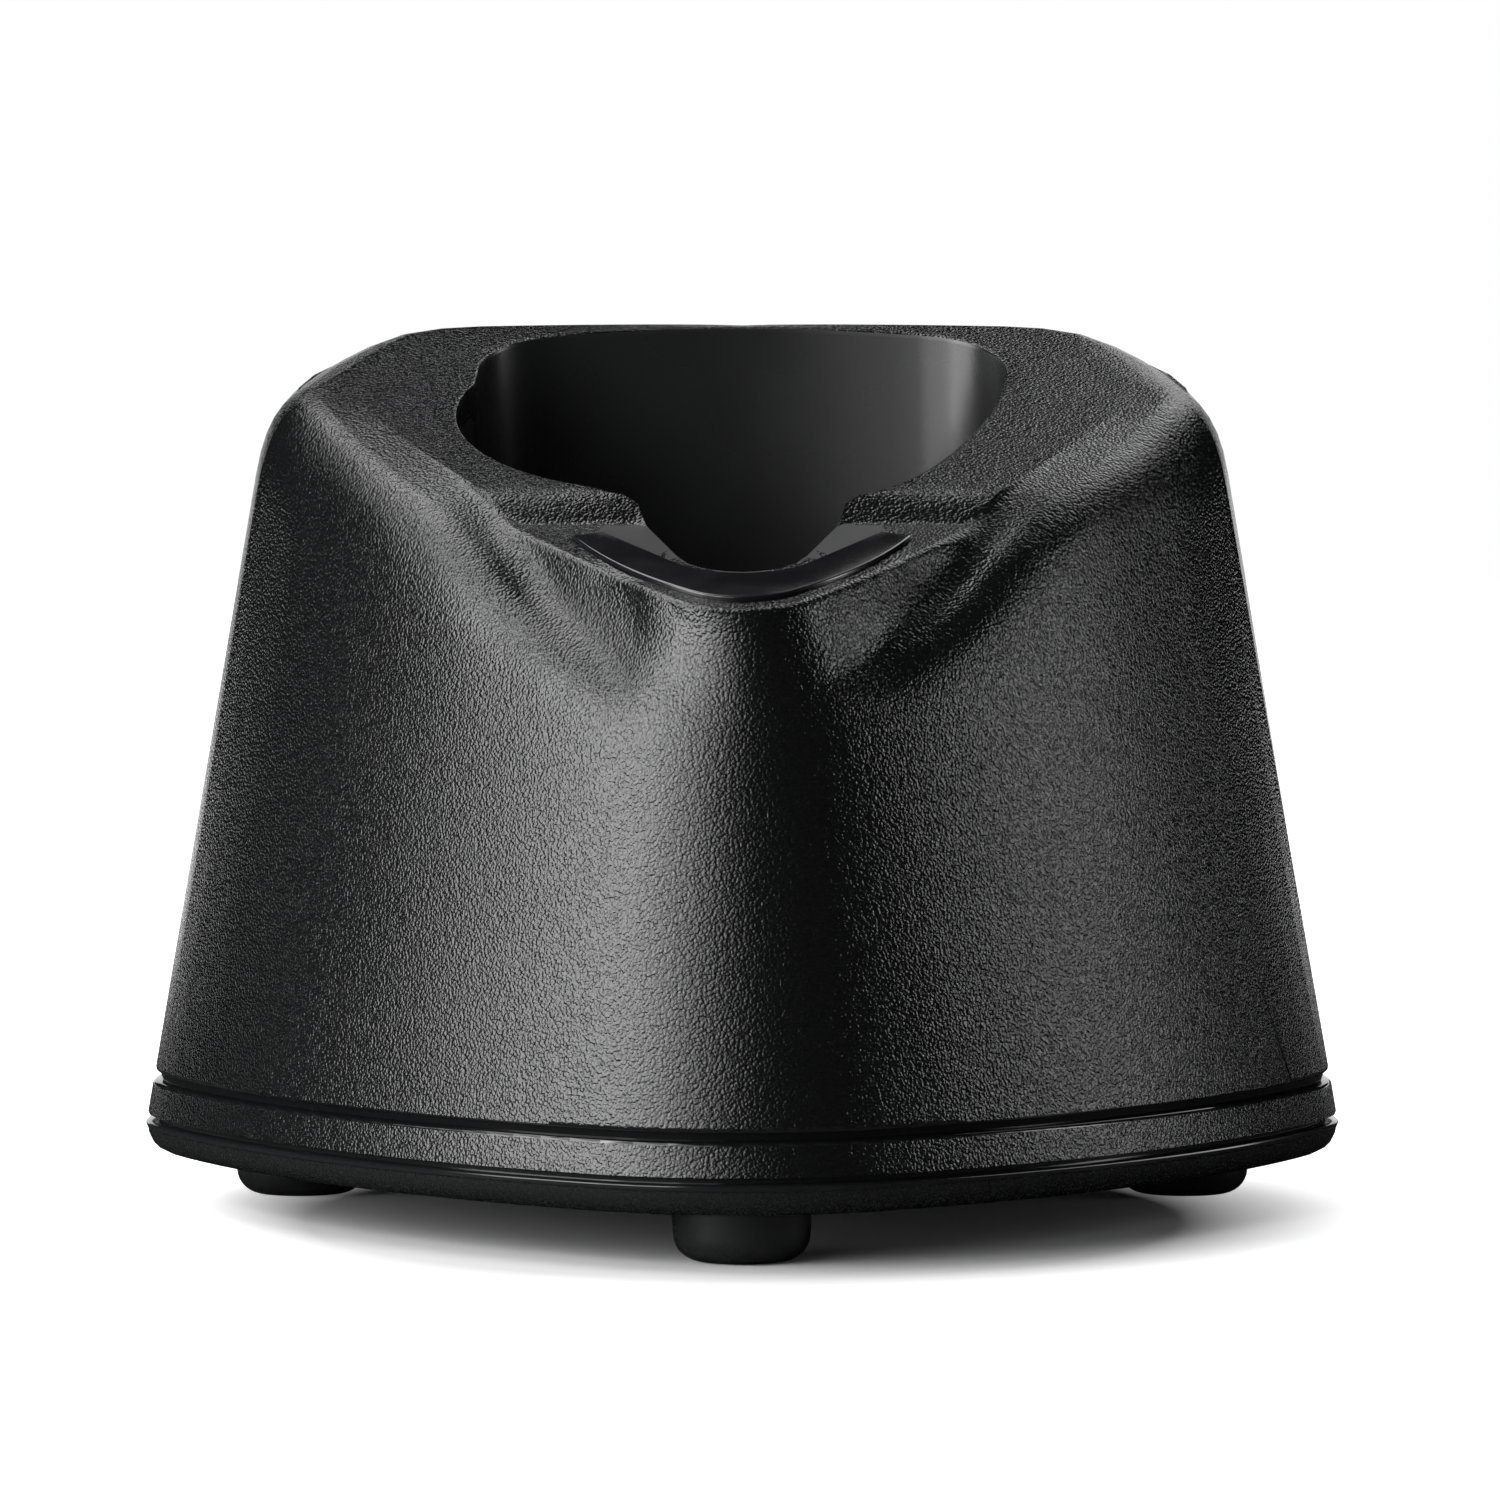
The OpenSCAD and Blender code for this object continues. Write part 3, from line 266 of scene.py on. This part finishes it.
# moulded black plastic with a pebble grain, as on the shell, the band and the pan
def grainedPlastic(name, colour, roughness, cellSize, depth, strength):
    grain = {
        "warpScale": 0.45,
        "warpReach": 0.9,
        "softness": 0.35,
        "domeFoot": 0.6,
        "wrinkleScale": 1.1,
        "wrinkleHeight": 1.2,
        "valley": (0.35, 0.75),
        "valleyDull": 0.07,
        "valleyShade": 0.8,
        "patchScale": 60,
        "patchReach": (0.3, 0.7),
        "patchSheen": 0.03,
    }
    finish, tree, shader, place = startFinish(name, colour, roughness)
    # round cells, pulled out of line by a slow noise
    warp = addNoise(tree, place, grain["warpScale"] / cellSize, detail=2.0)
    nudge = tree.nodes.new("ShaderNodeVectorMath")
    nudge.operation = "MULTIPLY_ADD"
    tree.links.new(warp, nudge.inputs[0])
    nudge.inputs[1].default_value = (cellSize * grain["warpReach"],) * 3
    tree.links.new(place, nudge.inputs[2])
    pebbles = addCells(tree, nudge.outputs["Vector"], 1 / cellSize, grain["softness"])
    # each cell is a dome, with wrinkles over it
    squared = addMath(tree, "MULTIPLY", pebbles, pebbles)
    dome = addRange(tree, squared, 0.0, grain["domeFoot"], 1.0, 0.0)
    wrinkle = addNoise(tree, place, grain["wrinkleScale"] / cellSize, detail=3.0)
    wrinkled = addMath(tree, "MULTIPLY", wrinkle, grain["wrinkleHeight"])
    addBump(tree, shader, addMath(tree, "ADD", dome, wrinkled), depth, strength)
    # between the domes the plastic is duller, and it is painted darker there as shade in the hollows
    valley = addRange(tree, pebbles, *grain["valley"], 0.0, 1.0)
    patch = addNoise(tree, place, grain["patchScale"], detail=3.0)
    low = roughness - grain["patchSheen"]
    high = roughness + grain["patchSheen"]
    sheen = addRange(tree, patch, *grain["patchReach"], low, high)
    dull = addMath(tree, "MULTIPLY", valley, grain["valleyDull"])
    tree.links.new(addMath(tree, "ADD", sheen, dull), shader.inputs["Roughness"])
    linkColour(tree, shader, valley, colour, shade(colour, grain["valleyShade"]))
    return finish


# smooth moulded plastic, with only a faint tooling texture and a slow change of sheen
def smoothPlastic(name, colour, roughness, textureSize, depth):
    look = {
        "strength": 0.5,
        "patchScale": 45,
        "patchReach": (0.3, 0.7),
        "smoother": 0.04,
        "rougher": 0.05,
        "darker": 0.85,
        "lighter": 1.15,
    }
    finish, tree, shader, place = startFinish(name, colour, roughness)
    tooling = addNoise(tree, place, 1 / textureSize, detail=4.0, distortion=0.3)
    addBump(tree, shader, tooling, depth, look["strength"])
    patch = addNoise(tree, place, look["patchScale"], detail=4.0)
    low = roughness - look["smoother"]
    high = roughness + look["rougher"]
    linkSheen(tree, shader, patch, look["patchReach"], low, high)
    linkColour(tree, shader, patch, shade(colour, look["darker"]), shade(colour, look["lighter"]))
    return finish


# plated or drawn metal: fine streaks, drawn out where stretch is small, and a patchy sheen
def workedMetal(name, colour, roughness, stretch):
    look = {
        "streakScale": 900,
        "streakDepth": 0.00001,
        "streakStrength": 0.4,
        "patchScale": 320,
        "patchReach": (0.25, 0.75),
        "smoother": 0.07,
        "rougher": 0.1,
        "darker": 0.82,
        "lighter": 1.1,
    }
    finish, tree, shader, place = startFinish(name, colour, roughness)
    shader.inputs["Metallic"].default_value = 1.0
    mapping = tree.nodes.new("ShaderNodeMapping")
    mapping.inputs["Scale"].default_value = stretch
    tree.links.new(place, mapping.inputs["Vector"])
    streaks = addNoise(tree, mapping.outputs["Vector"], look["streakScale"], detail=4.0)
    addBump(tree, shader, streaks, look["streakDepth"], look["streakStrength"])
    patch = addNoise(tree, place, look["patchScale"], detail=3.0)
    low = roughness - look["smoother"]
    high = roughness + look["rougher"]
    linkSheen(tree, shader, patch, look["patchReach"], low, high)
    linkColour(tree, shader, streaks, shade(colour, look["darker"]), shade(colour, look["lighter"]))
    return finish


# polished plastic and cast resin: a thin coat, a faint haze and a very shallow ripple
def glossyResin(name, colour, roughness):
    look = {
        "coat": 0.15,
        "coatRoughness": 0.06,
        "hazeScale": 140,
        "hazeReach": (0.3, 0.75),
        "hazeSheen": 0.1,
        "rippleScale": 500,
        "rippleDepth": 0.000006,
        "rippleStrength": 0.4,
        "lighter": 1.5,
        "lift": 0.002,
    }
    finish, tree, shader, place = startFinish(name, colour, roughness)
    shader.inputs["Coat Weight"].default_value = look["coat"]
    shader.inputs["Coat Roughness"].default_value = look["coatRoughness"]
    haze = addNoise(tree, place, look["hazeScale"], detail=4.0, distortion=0.6)
    linkSheen(tree, shader, haze, look["hazeReach"], roughness, roughness + look["hazeSheen"])
    ripple = addNoise(tree, place, look["rippleScale"], detail=2.0)
    addBump(tree, shader, ripple, look["rippleDepth"], look["rippleStrength"])
    linkColour(tree, shader, haze, colour, shade(colour, look["lighter"], look["lift"]))
    return finish


# rubber, also of the leads: a fine grain under a patchy bloom
def mouldedRubber(name, colour, roughness):
    look = {
        "bloomScale": 90,
        "bloomReach": (0.3, 0.7),
        "smoother": 0.05,
        "rougher": 0.07,
        "grainScale": 2600,
        "grainDepth": 0.00002,
        "grainStrength": 0.5,
        "darker": 0.85,
        "lighter": 1.2,
    }
    finish, tree, shader, place = startFinish(name, colour, roughness)
    bloom = addNoise(tree, place, look["bloomScale"], detail=5.0)
    grain = addNoise(tree, place, look["grainScale"], detail=3.0)
    addBump(tree, shader, grain, look["grainDepth"], look["grainStrength"])
    low = roughness - look["smoother"]
    high = roughness + look["rougher"]
    linkSheen(tree, shader, bloom, look["bloomReach"], low, high)
    linkColour(tree, shader, bloom, shade(colour, look["darker"]), shade(colour, look["lighter"]))
    return finish


# green circuit board with its cloth showing through
def boardLaminate(name):
    board = {
        "green": (0.02, 0.14, 0.06),
        "roughness": 0.35,
        "weaveScale": 700,
        "weaveDepth": 0.00001,
        "weaveStrength": 0.3,
    }
    threads = {
        "Color1": (0.016, 0.13, 0.052),
        "Color2": (0.022, 0.155, 0.066),
        "Mortar": (0.012, 0.1, 0.04),
    }
    finish, tree, shader, place = startFinish(name, board["green"], board["roughness"])
    weave = tree.nodes.new("ShaderNodeTexBrick")
    weave.inputs["Scale"].default_value = board["weaveScale"]
    for socketName, colour in threads.items():
        weave.inputs[socketName].default_value = (*colour, 1)
    tree.links.new(place, weave.inputs["Vector"])
    tree.links.new(weave.outputs["Color"], shader.inputs["Base Color"])
    addBump(tree, shader, weave.outputs["Fac"], board["weaveDepth"], board["weaveStrength"])
    return finish


print("materials")
black = (0.0045, 0.0047, 0.005)
softBlack = (0.01, 0.0103, 0.0107)
# colour, roughness, size of a cell and depth in m, strength
housingGrain = grainedPlastic("housingGrain", black, 0.13, 0.0003, 0.00004, 1.0)
bandGrain = grainedPlastic("bandGrain", black, 0.13, 0.0003, 0.00004, 1.0)
panGrain = grainedPlastic("panGrain", softBlack, 0.24, 0.0003, 0.00002, 0.8)
# colour, roughness, size and depth of the texture in m
socketSatin = smoothPlastic("socketSatin", softBlack, 0.26, 0.0005, 0.00001)
# the smooth ledge is painted a lighter grey than the black moulding, as painted light; its satin sheen
# is its own
litLedgeSatin = smoothPlastic("litLedgeSatin", (0.032, 0.0325, 0.0335), 0.38, 0.0003, 0.000012)
bevelGloss = smoothPlastic("bevelGloss", (0.008, 0.0083, 0.0087), 0.11, 0.0006, 0.000006)
seamShade = smoothPlastic("seamShade", (0.004, 0.0042, 0.0045), 0.08, 0.0006, 0.000004)
# painted shade in the seams: they are painted darker and reflect less than what is beside them
seamShade.node_tree.nodes["Principled BSDF"].inputs["Specular IOR Level"].default_value = 0.25
blockPlastic = smoothPlastic("blockPlastic", (0.03, 0.03, 0.032), 0.5, 0.0003, 0.00002)
chipMoulding = smoothPlastic("chipMoulding", (0.015, 0.015, 0.016), 0.45, 0.0002, 0.00001)
plugMoulding = smoothPlastic("plugMoulding", (0.8, 0.78, 0.7), 0.4, 0.0003, 0.00001)
lensSmoked = glossyResin("lensSmoked", (0.004, 0.004, 0.0048), 0.12)
guideClear = glossyResin("guideClear", (0.8, 0.83, 0.85), 0.08)
ledResin = glossyResin("ledResin", (0.85, 0.82, 0.6), 0.2)
footRubber = mouldedRubber("footRubber", (0.012, 0.0123, 0.0127), 0.26)
leadCover = mouldedRubber("leadCover", (0.35, 0.05, 0.04), 0.5)
# colour, roughness, how much the streaks are scaled along each axis
contactPlating = workedMetal("contactPlating", (0.78, 0.6, 0.25), 0.24, (1, 1, 0.1))
springWire = workedMetal("springWire", (0.55, 0.56, 0.58), 0.28, (1, 1, 1))
zincPlate = workedMetal("zincPlate", (0.5, 0.51, 0.53), 0.34, (0.1, 1, 1))
canAluminium = workedMetal("canAluminium", (0.6, 0.62, 0.66), 0.3, (1, 1, 0.1))
boardGreen = boardLaminate("boardGreen")

# the CAD nodes that stay get a finish and no other change
nodeFinishes = {
    "light_guide": guideClear,
    "led_board": boardGreen,
    "leds": ledResin,
    "led_lead": leadCover,
    "pin_leads": leadCover,
    "main_board": boardGreen,
    "charge_chip": chipMoulding,
    "capacitors": canAluminium,
    "coil": chipMoulding,
    "lead_sockets": plugMoulding,
    "dc_jack": chipMoulding,
    "jack_pin": contactPlating,
    "ballast_plate": zincPlate,
    "base_screws": zincPlate,
    "ballast_screws": zincPlate,
    "board_screws": zincPlate,
    "floor_screws": zincPlate,
    "block_screws": zincPlate,
    "pin_barrels": contactPlating,
}
for nodeName, finish in nodeFinishes.items():
    for slot in nodes[nodeName].material_slots:
        slot.material = finish

# sizes in mm that several pieces share
stand = {
    "hubY": 6.0,
    "tubeZ": 26.0,
    "shellZ": 12.65,
    "noseY": -37.53,
    "noseZ": 59.7,
    "ledgeSlope": 16.4,
}
ledgeRise = math.tan(math.radians(stand["ledgeSlope"]))


def ledgeHeight(y):
    return stand["noseZ"] + (y - stand["noseY"]) * ledgeRise


# how far in mm the hub stands in front of a face, below 0 where the face looks away from it
def towardsHub(place, normal):
    return normal.x * -place.x + normal.y * (stand["hubY"] - place.y)


def makeHousing():
    sizes = {
        "socketFront": -26,
        "socketBack": 32,
        "socketHalf": 25.6,
        "stepY": -8,
        "stepHalf": 13.4,
        "notchY": -14,
        "notchHalf": 9.6,
        "wallTilt": 0.4,
        "wallFacing": 1,
        "rimFoot": 45,
        "seatTilt": 0.02,
        "ledgeHalf": 13.6,
        "ledgeTilt": 0.9,
        "ledgeWithin": 0.4,
        "lensInnerY": -28.6,
        "lensLean": 0.85,
        "bevelHeight": 0.32,
    }
    fold = {
        "top": 74,
        "foot": 36,
        "facing": 4,
        "belowLedge": 3,
        "ease": 0.5,
        "passes": 6,
        "valleyX": 20.2,
        "valleyZ": 62,
        "valleyFoot": 55,
        "valleyTop": 69,
        "valleyLean": 1.1,
        "valleyHalf": 0.8,
        "valleyDepth": 0.9,
        "valleyReach": 4.5,
    }
    shell = copyNode("upper_housing", "housingShell")

    def onSocketWall(place, normal):
        half = sizes["socketHalf"] if place.y > sizes["stepY"] else sizes["stepHalf"]
        half = half if place.y > sizes["notchY"] else sizes["notchHalf"]
        inPlan = sizes["socketFront"] < place.y < sizes["socketBack"] and abs(place.x) < half
        upright = abs(normal.z) < sizes["wallTilt"] and towardsHub(place, normal) > sizes["wallFacing"]
        return inPlan and upright and place.z > stand["tubeZ"]

    def nearRim(place, normal):
        return onSocketWall(place, normal) and place.z > sizes["rimFoot"]

    def onSeat(place, normal):
        return normal.z < -sizes["seatTilt"]

    # the tube's seat is drawn down to the tube's foot, so that the socket has one unbroken wall
    pickFaces(shell, nearRim)
    bpy.ops.mesh.select_more()
    keepFaces(shell, onSeat)
    bpy.ops.transform.resize(value=(1, 1, 0), center_override=(0, 0, stand["tubeZ"] * mm))

    # the folds beside the nose run out softly
    def onFold(place, normal):
        return (
            fold["foot"] < place.z < fold["top"]
            and place.y < 0
            and towardsHub(place, normal) < -fold["facing"]
            and place.z < ledgeHeight(place.y) - fold["belowLedge"]
        )

    pickFaces(shell, onFold)
    bpy.ops.mesh.vertices_smooth(factor=fold["ease"], repeat=fold["passes"])

    # one soft valley on each side of the nose, between the ledge and the front
    def onValley(place, normal):
        middle = fold["valleyX"] + (place.z - fold["valleyZ"]) * fold["valleyLean"]
        inLine = abs(abs(place.x) - middle) < fold["valleyHalf"]
        return onFold(place, normal) and fold["valleyFoot"] < place.z < fold["valleyTop"] and inLine

    pickFaces(shell, onValley)
    bpy.ops.transform.shrink_fatten(
        value=-fold["valleyDepth"] * mm,
        use_proportional_edit=True,
        use_proportional_connected=True,
        proportional_edit_falloff="SMOOTH",
        proportional_size=fold["valleyReach"] * mm,
    )
    pickFaces(shell, onFold)
    bpy.ops.mesh.vertices_smooth(factor=fold["ease"], repeat=1)
    bpy.ops.object.mode_set(mode="OBJECT")

    def onInnerLedge(place, normal):
        return (
            normal.z > sizes["ledgeTilt"]
            and abs(place.z - ledgeHeight(place.y)) < sizes["ledgeWithin"]
            and abs(place.x) < sizes["ledgeHalf"]
            and place.y > sizes["lensInnerY"] + abs(place.x) * sizes["lensLean"]
        )

    def onLowBevel(place, normal):
        return place.z < stand["shellZ"] + sizes["bevelHeight"]

    addFinishes(shell, housingGrain, socketSatin, litLedgeSatin, bevelGloss)
    paintFaces(shell, 1, onSocketWall)
    # the inner ledge gets the painted light grey
    paintFaces(shell, 2, onInnerLedge)
    paintFaces(shell, 3, onLowBevel)
    bpy.ops.object.mode_set(mode="OBJECT")
    settle(shell, "upper_housing", "stand", housingGrain, degrees=30, weighed=True)


# the tube's faces are all drawn in a little, so that the shell's wall covers it
def makeTube():
    sizes = {"within": 0.08}
    tube = copyNode("socket_tube", "socketTube")
    bpy.ops.object.mode_set(mode="EDIT")
    bpy.ops.mesh.select_all(action="SELECT")
    bpy.ops.transform.shrink_fatten(value=-sizes["within"] * mm)
    bpy.ops.object.mode_set(mode="OBJECT")
    settle(tube, "socket_tube", "stand", socketSatin, degrees=30)


def makeBand():
    sizes = {"edgeTilt": 0.35, "grooveHeight": 1.1}
    band = copyNode("trim_band", "trimBand")

    def onEdges(place, normal):
        return abs(normal.z) > sizes["edgeTilt"]

    def onGroove(place, normal):
        return place.z > stand["shellZ"] - sizes["grooveHeight"]

    addFinishes(band, bandGrain, bevelGloss, seamShade)
    paintFaces(band, 1, onEdges)
    # the groove's faces get the painted shade of the seam
    paintFaces(band, 2, onGroove)
    bpy.ops.object.mode_set(mode="OBJECT")
    settle(band, "trim_band", "stand", bandGrain, degrees=40, weighed=True)


def makePan():
    sizes = {"lipZ": 7.15}
    pan = copyNode("base_pan", "basePan")

    def onLip(place, normal):
        return place.z > sizes["lipZ"]

    addFinishes(pan, panGrain, bevelGloss)
    paintFaces(pan, 1, onLip)
    bpy.ops.object.mode_set(mode="OBJECT")
    settle(pan, "base_pan", "stand", panGrain, degrees=34, weighed=True)


def makeFeet():
    foot = {"radius": 6.5, "height": 5.0, "edge": 2.2, "lean": 0.35, "sides": 72, "edgeSteps": 8}
    places = {"front_foot": (0, -35), "left_foot": (-43.2, 24), "right_foot": (43.2, 24)}
    flat = 0.9
    nearFloor = 0.01

    def isUnderside(place, normal):
        return normal.z < -flat

    def isLowEdge(a, b):
        return a.z < nearFloor and b.z < nearFloor

    for nodeName, (x, y) in places.items():
        bpy.ops.object.select_all(action="DESELECT")
        bpy.ops.mesh.primitive_cylinder_add(
            vertices=foot["sides"],
            radius=foot["radius"] * mm,
            depth=foot["height"] * mm,
            location=(x * mm, y * mm, foot["height"] / 2 * mm),
        )
        piece = bpy.context.object
        piece.name = nodeName.replace("_foot", "Foot")
        bpy.ops.object.transform_apply(location=True)
        pickFaces(piece, isUnderside)
        lower = (foot["radius"] - foot["lean"]) / foot["radius"]
        bpy.ops.transform.resize(value=(lower, lower, 1), center_override=Vector((x, y, 0)) * mm)
        pickEdges(piece, isLowEdge)
        bpy.ops.mesh.bevel(
            offset=foot["edge"] * mm, segments=foot["edgeSteps"], profile=0.5, affect="EDGES"
        )
        bpy.ops.object.mode_set(mode="OBJECT")
        settle(piece, nodeName, "stand", footRubber, degrees=35)


def makeLens():
    sizes = {"rounding": 0.2, "steps": 4}
    lens = copyNode("light_lens", "lightLens")
    roundEdges(lens, sizes["rounding"], segments=sizes["steps"])
    settle(lens, "light_lens", "stand", lensSmoked, degrees=35)


def makeSocketParts():
    # node, piece, finish, slot, body and the rounding of the edges in mm
    for nodeName, pieceName, finish, slotName, body, rounding in (
        ("socket_floor", "socketFloor", socketSatin, "housing_plastic", "stand", 0.2),
        ("contact_block", "contactBlock", blockPlastic, "block_plastic", "stand", 0.4),
        ("left_contact_pin", "leftContactPin", contactPlating, "contact_brass", "left_pin", 0.15),
        ("right_contact_pin", "rightContactPin", contactPlating, "contact_brass", "right_pin", 0.15),
    ):
        piece = copyNode(nodeName, pieceName)
        roundEdges(piece, rounding, segments=3)
        settle(piece, nodeName, body, finish, degrees=32, weighed=True)


# each spring stands on its barrel's floor and gets a mesh of its own
def makeSprings():
    for side in ("left", "right"):
        nodeName = side + "_pin_spring"
        spring = copyNode(nodeName, side + "PinSpring")
        settle(spring, nodeName, "stand", springWire, degrees=60)
        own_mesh(spring)


print("housing")
makeHousing()
makeTube()
print("trim and pan")
makeBand()
makePan()
print("feet")
makeFeet()
print("light")
makeLens()
print("socket parts")
makeSocketParts()
makeSprings()


def makeCamera():
    view = {
        "centre": 0.00076,
        "distance": 0.9,
        "height": 0.09747,
        "aimHeight": 0.0448,
        "lens": 227.2,
        "sensor": 36,
        "nearest": 0.01,
    }
    data = bpy.data.cameras.new("photoView")
    camera = bpy.data.objects.new("photoView", data)
    bpy.context.scene.collection.objects.link(camera)
    data.sensor_width = view["sensor"]
    data.lens = view["lens"]
    data.clip_start = view["nearest"]
    camera.location = (view["centre"], -view["distance"], view["height"])
    aim = Vector((view["centre"], 0, view["aimHeight"]))
    camera.rotation_euler = (aim - camera.location).to_track_quat("-Z", "Y").to_euler()
    bpy.context.scene.camera = camera


# a softbox seen from the object: its bearing from the front in degrees (right is positive), its rise in
# degrees, its distance, width and height in m, its brightness, and its sideways lean in degrees
def addSoftbox(name, bearing, rise, distance, width, height, brightness, lean=0):
    data = bpy.data.lights.new(name, "AREA")
    data.shape = "RECTANGLE"
    data.size = width
    data.size_y = height
    data.energy = brightness * math.pi * width * height
    lamp = bpy.data.objects.new(name, data)
    bpy.context.scene.collection.objects.link(lamp)
    level = distance * math.cos(math.radians(rise))
    aimHeight = 0.045
    middle = Vector((0, 0, aimHeight))
    lamp.location = middle + Vector((
        level * math.sin(math.radians(bearing)),
        -level * math.cos(math.radians(bearing)),
        distance * math.sin(math.radians(rise)),
    ))
    facing = (middle - lamp.location).to_track_quat("-Z", "Y")
    lamp.rotation_euler = (facing @ Quaternion((0, 0, 1), math.radians(lean))).to_euler()
    lamp.visible_camera = False


# what the camera sees is white; gloss and glass see that white only in the backdrop's place
def addBackdropMask(tree, inBackdrop):
    rays = tree.nodes.new("ShaderNodeLightPath").outputs
    mirrored = addMath(tree, "MAXIMUM", rays["Is Glossy Ray"], rays["Is Transmission Ray"])
    mirroredWhite = addMath(tree, "MULTIPLY", mirrored, inBackdrop)
    return addMath(tree, "MAXIMUM", rays["Is Camera Ray"], mirroredWhite)


def makeFloor():
    sizes = {
        "width": 3.0,
        "below": 0.00005,
        "shadowReach": 0.05,
        "whiteFrom": 0.075,
        "shadowNarrow": 1.2,
        "backdropFrom": 0.35,
        "backdropFade": 0.2,
    }
    look = {"albedo": 0.85, "dark": 0.008, "roughness": 0.9, "specular": 0.1}
    bpy.ops.object.select_all(action="DESELECT")
    bpy.ops.mesh.primitive_plane_add(size=sizes["width"], location=(0, 0, -sizes["below"]))
    floor = bpy.context.object
    floor.name = "studioFloor"
    paper = bpy.data.materials.new("paper")
    paper.use_nodes = True
    tree = paper.node_tree
    shader = tree.nodes["Principled BSDF"]
    shader.inputs["Roughness"].default_value = look["roughness"]
    shader.inputs["Specular IOR Level"].default_value = look["specular"]
    shader.inputs["Emission Color"].default_value = (1, 1, 1, 1)
    place = tree.nodes.new("ShaderNodeTexCoord").outputs["Object"]
    reach = tree.nodes.new("ShaderNodeVectorMath")
    reach.operation = "LENGTH"
    oval = tree.nodes.new("ShaderNodeMapping")
    oval.inputs["Scale"].default_value = (sizes["shadowNarrow"], 1, 1)
    tree.links.new(place, oval.inputs["Vector"])
    tree.links.new(oval.outputs["Vector"], reach.inputs[0])
    split = tree.nodes.new("ShaderNodeSeparateXYZ")
    tree.links.new(place, split.inputs["Vector"])
    backdropFull = sizes["backdropFrom"] + sizes["backdropFade"]
    behind = addRange(tree, split.outputs["Y"], sizes["backdropFrom"], backdropFull, 0, 1)
    path = tree.nodes.new("ShaderNodeLightPath")
    # gloss sees the near part of the table as the dark studio, as with black boards round the set
    inFront = addMath(tree, "SUBTRACT", 1, behind)
    screened = addMath(tree, "MULTIPLY", path.outputs["Is Glossy Ray"], inFront)
    linkColour(tree, shader, screened, (look["albedo"],) * 3, (look["dark"],) * 3)
    seen = addBackdropMask(tree, behind)
    # painted light: the floor glows white from the shadow's reach outwards, so the lamps' shadow shows
    # only in an oval round the stand
    lift = addRange(tree, reach.outputs["Value"], sizes["shadowReach"], sizes["whiteFrom"], 0.0, 1.0)
    tree.links.new(addMath(tree, "MULTIPLY", seen, lift), shader.inputs["Emission Strength"])
    addFinishes(floor, paper)


# the backdrop's half width and top are parts of a unit direction
def makeWorld():
    room = {"dark": 0.008, "backdropHalf": 0.26, "backdropTop": 0.3}
    world = bpy.data.worlds.new("studio")
    bpy.context.scene.world = world
    world.use_nodes = True
    tree = world.node_tree
    background = tree.nodes["Background"]
    background.inputs["Color"].default_value = (1, 1, 1, 1)
    split = tree.nodes.new("ShaderNodeSeparateXYZ")
    direction = tree.nodes.new("ShaderNodeTexCoord").outputs["Generated"]
    tree.links.new(direction, split.inputs["Vector"])
    sideways = addMath(tree, "ABSOLUTE", split.outputs["X"], 0)
    narrow = addMath(tree, "LESS_THAN", sideways, room["backdropHalf"])
    low = addMath(tree, "LESS_THAN", split.outputs["Z"], room["backdropTop"])
    behind = addMath(tree, "GREATER_THAN", split.outputs["Y"], 0)
    inFrame = addMath(tree, "MULTIPLY", addMath(tree, "MULTIPLY", narrow, low), behind)
    seen = addBackdropMask(tree, inFrame)
    strength = addRange(tree, seen, 0, 1, room["dark"], 1.0)
    tree.links.new(strength, background.inputs["Strength"])


def makeLamps():
    softboxes = {
        "leftKey": (-70, 14, 1.2, 0.55, 1.1, 7.4),
        "leftFill": (-46, 14, 1.2, 0.7, 1.1, 5.0),
        "leftFade": (-22, 14, 1.2, 0.45, 1.1, 1.8),
        "rightStrip": (94, 8, 1.2, 0.16, 0.9, 7.0, 12),
        "topLeft": (-125, 62, 1.2, 1.0, 0.6, 4.0),
        "leftHigh": (-92, 44, 1.2, 0.5, 0.6, 3.0),
        "backRight": (152, 40, 1.3, 0.7, 0.6, 2.2),
    }
    for name, values in softboxes.items():
        addSoftbox(name, *values)


def makeStudio():
    makeFloor()
    makeWorld()
    makeLamps()
    bpy.context.scene.view_settings.view_transform = "Standard"


print("camera and studio")
makeCamera()
makeStudio()
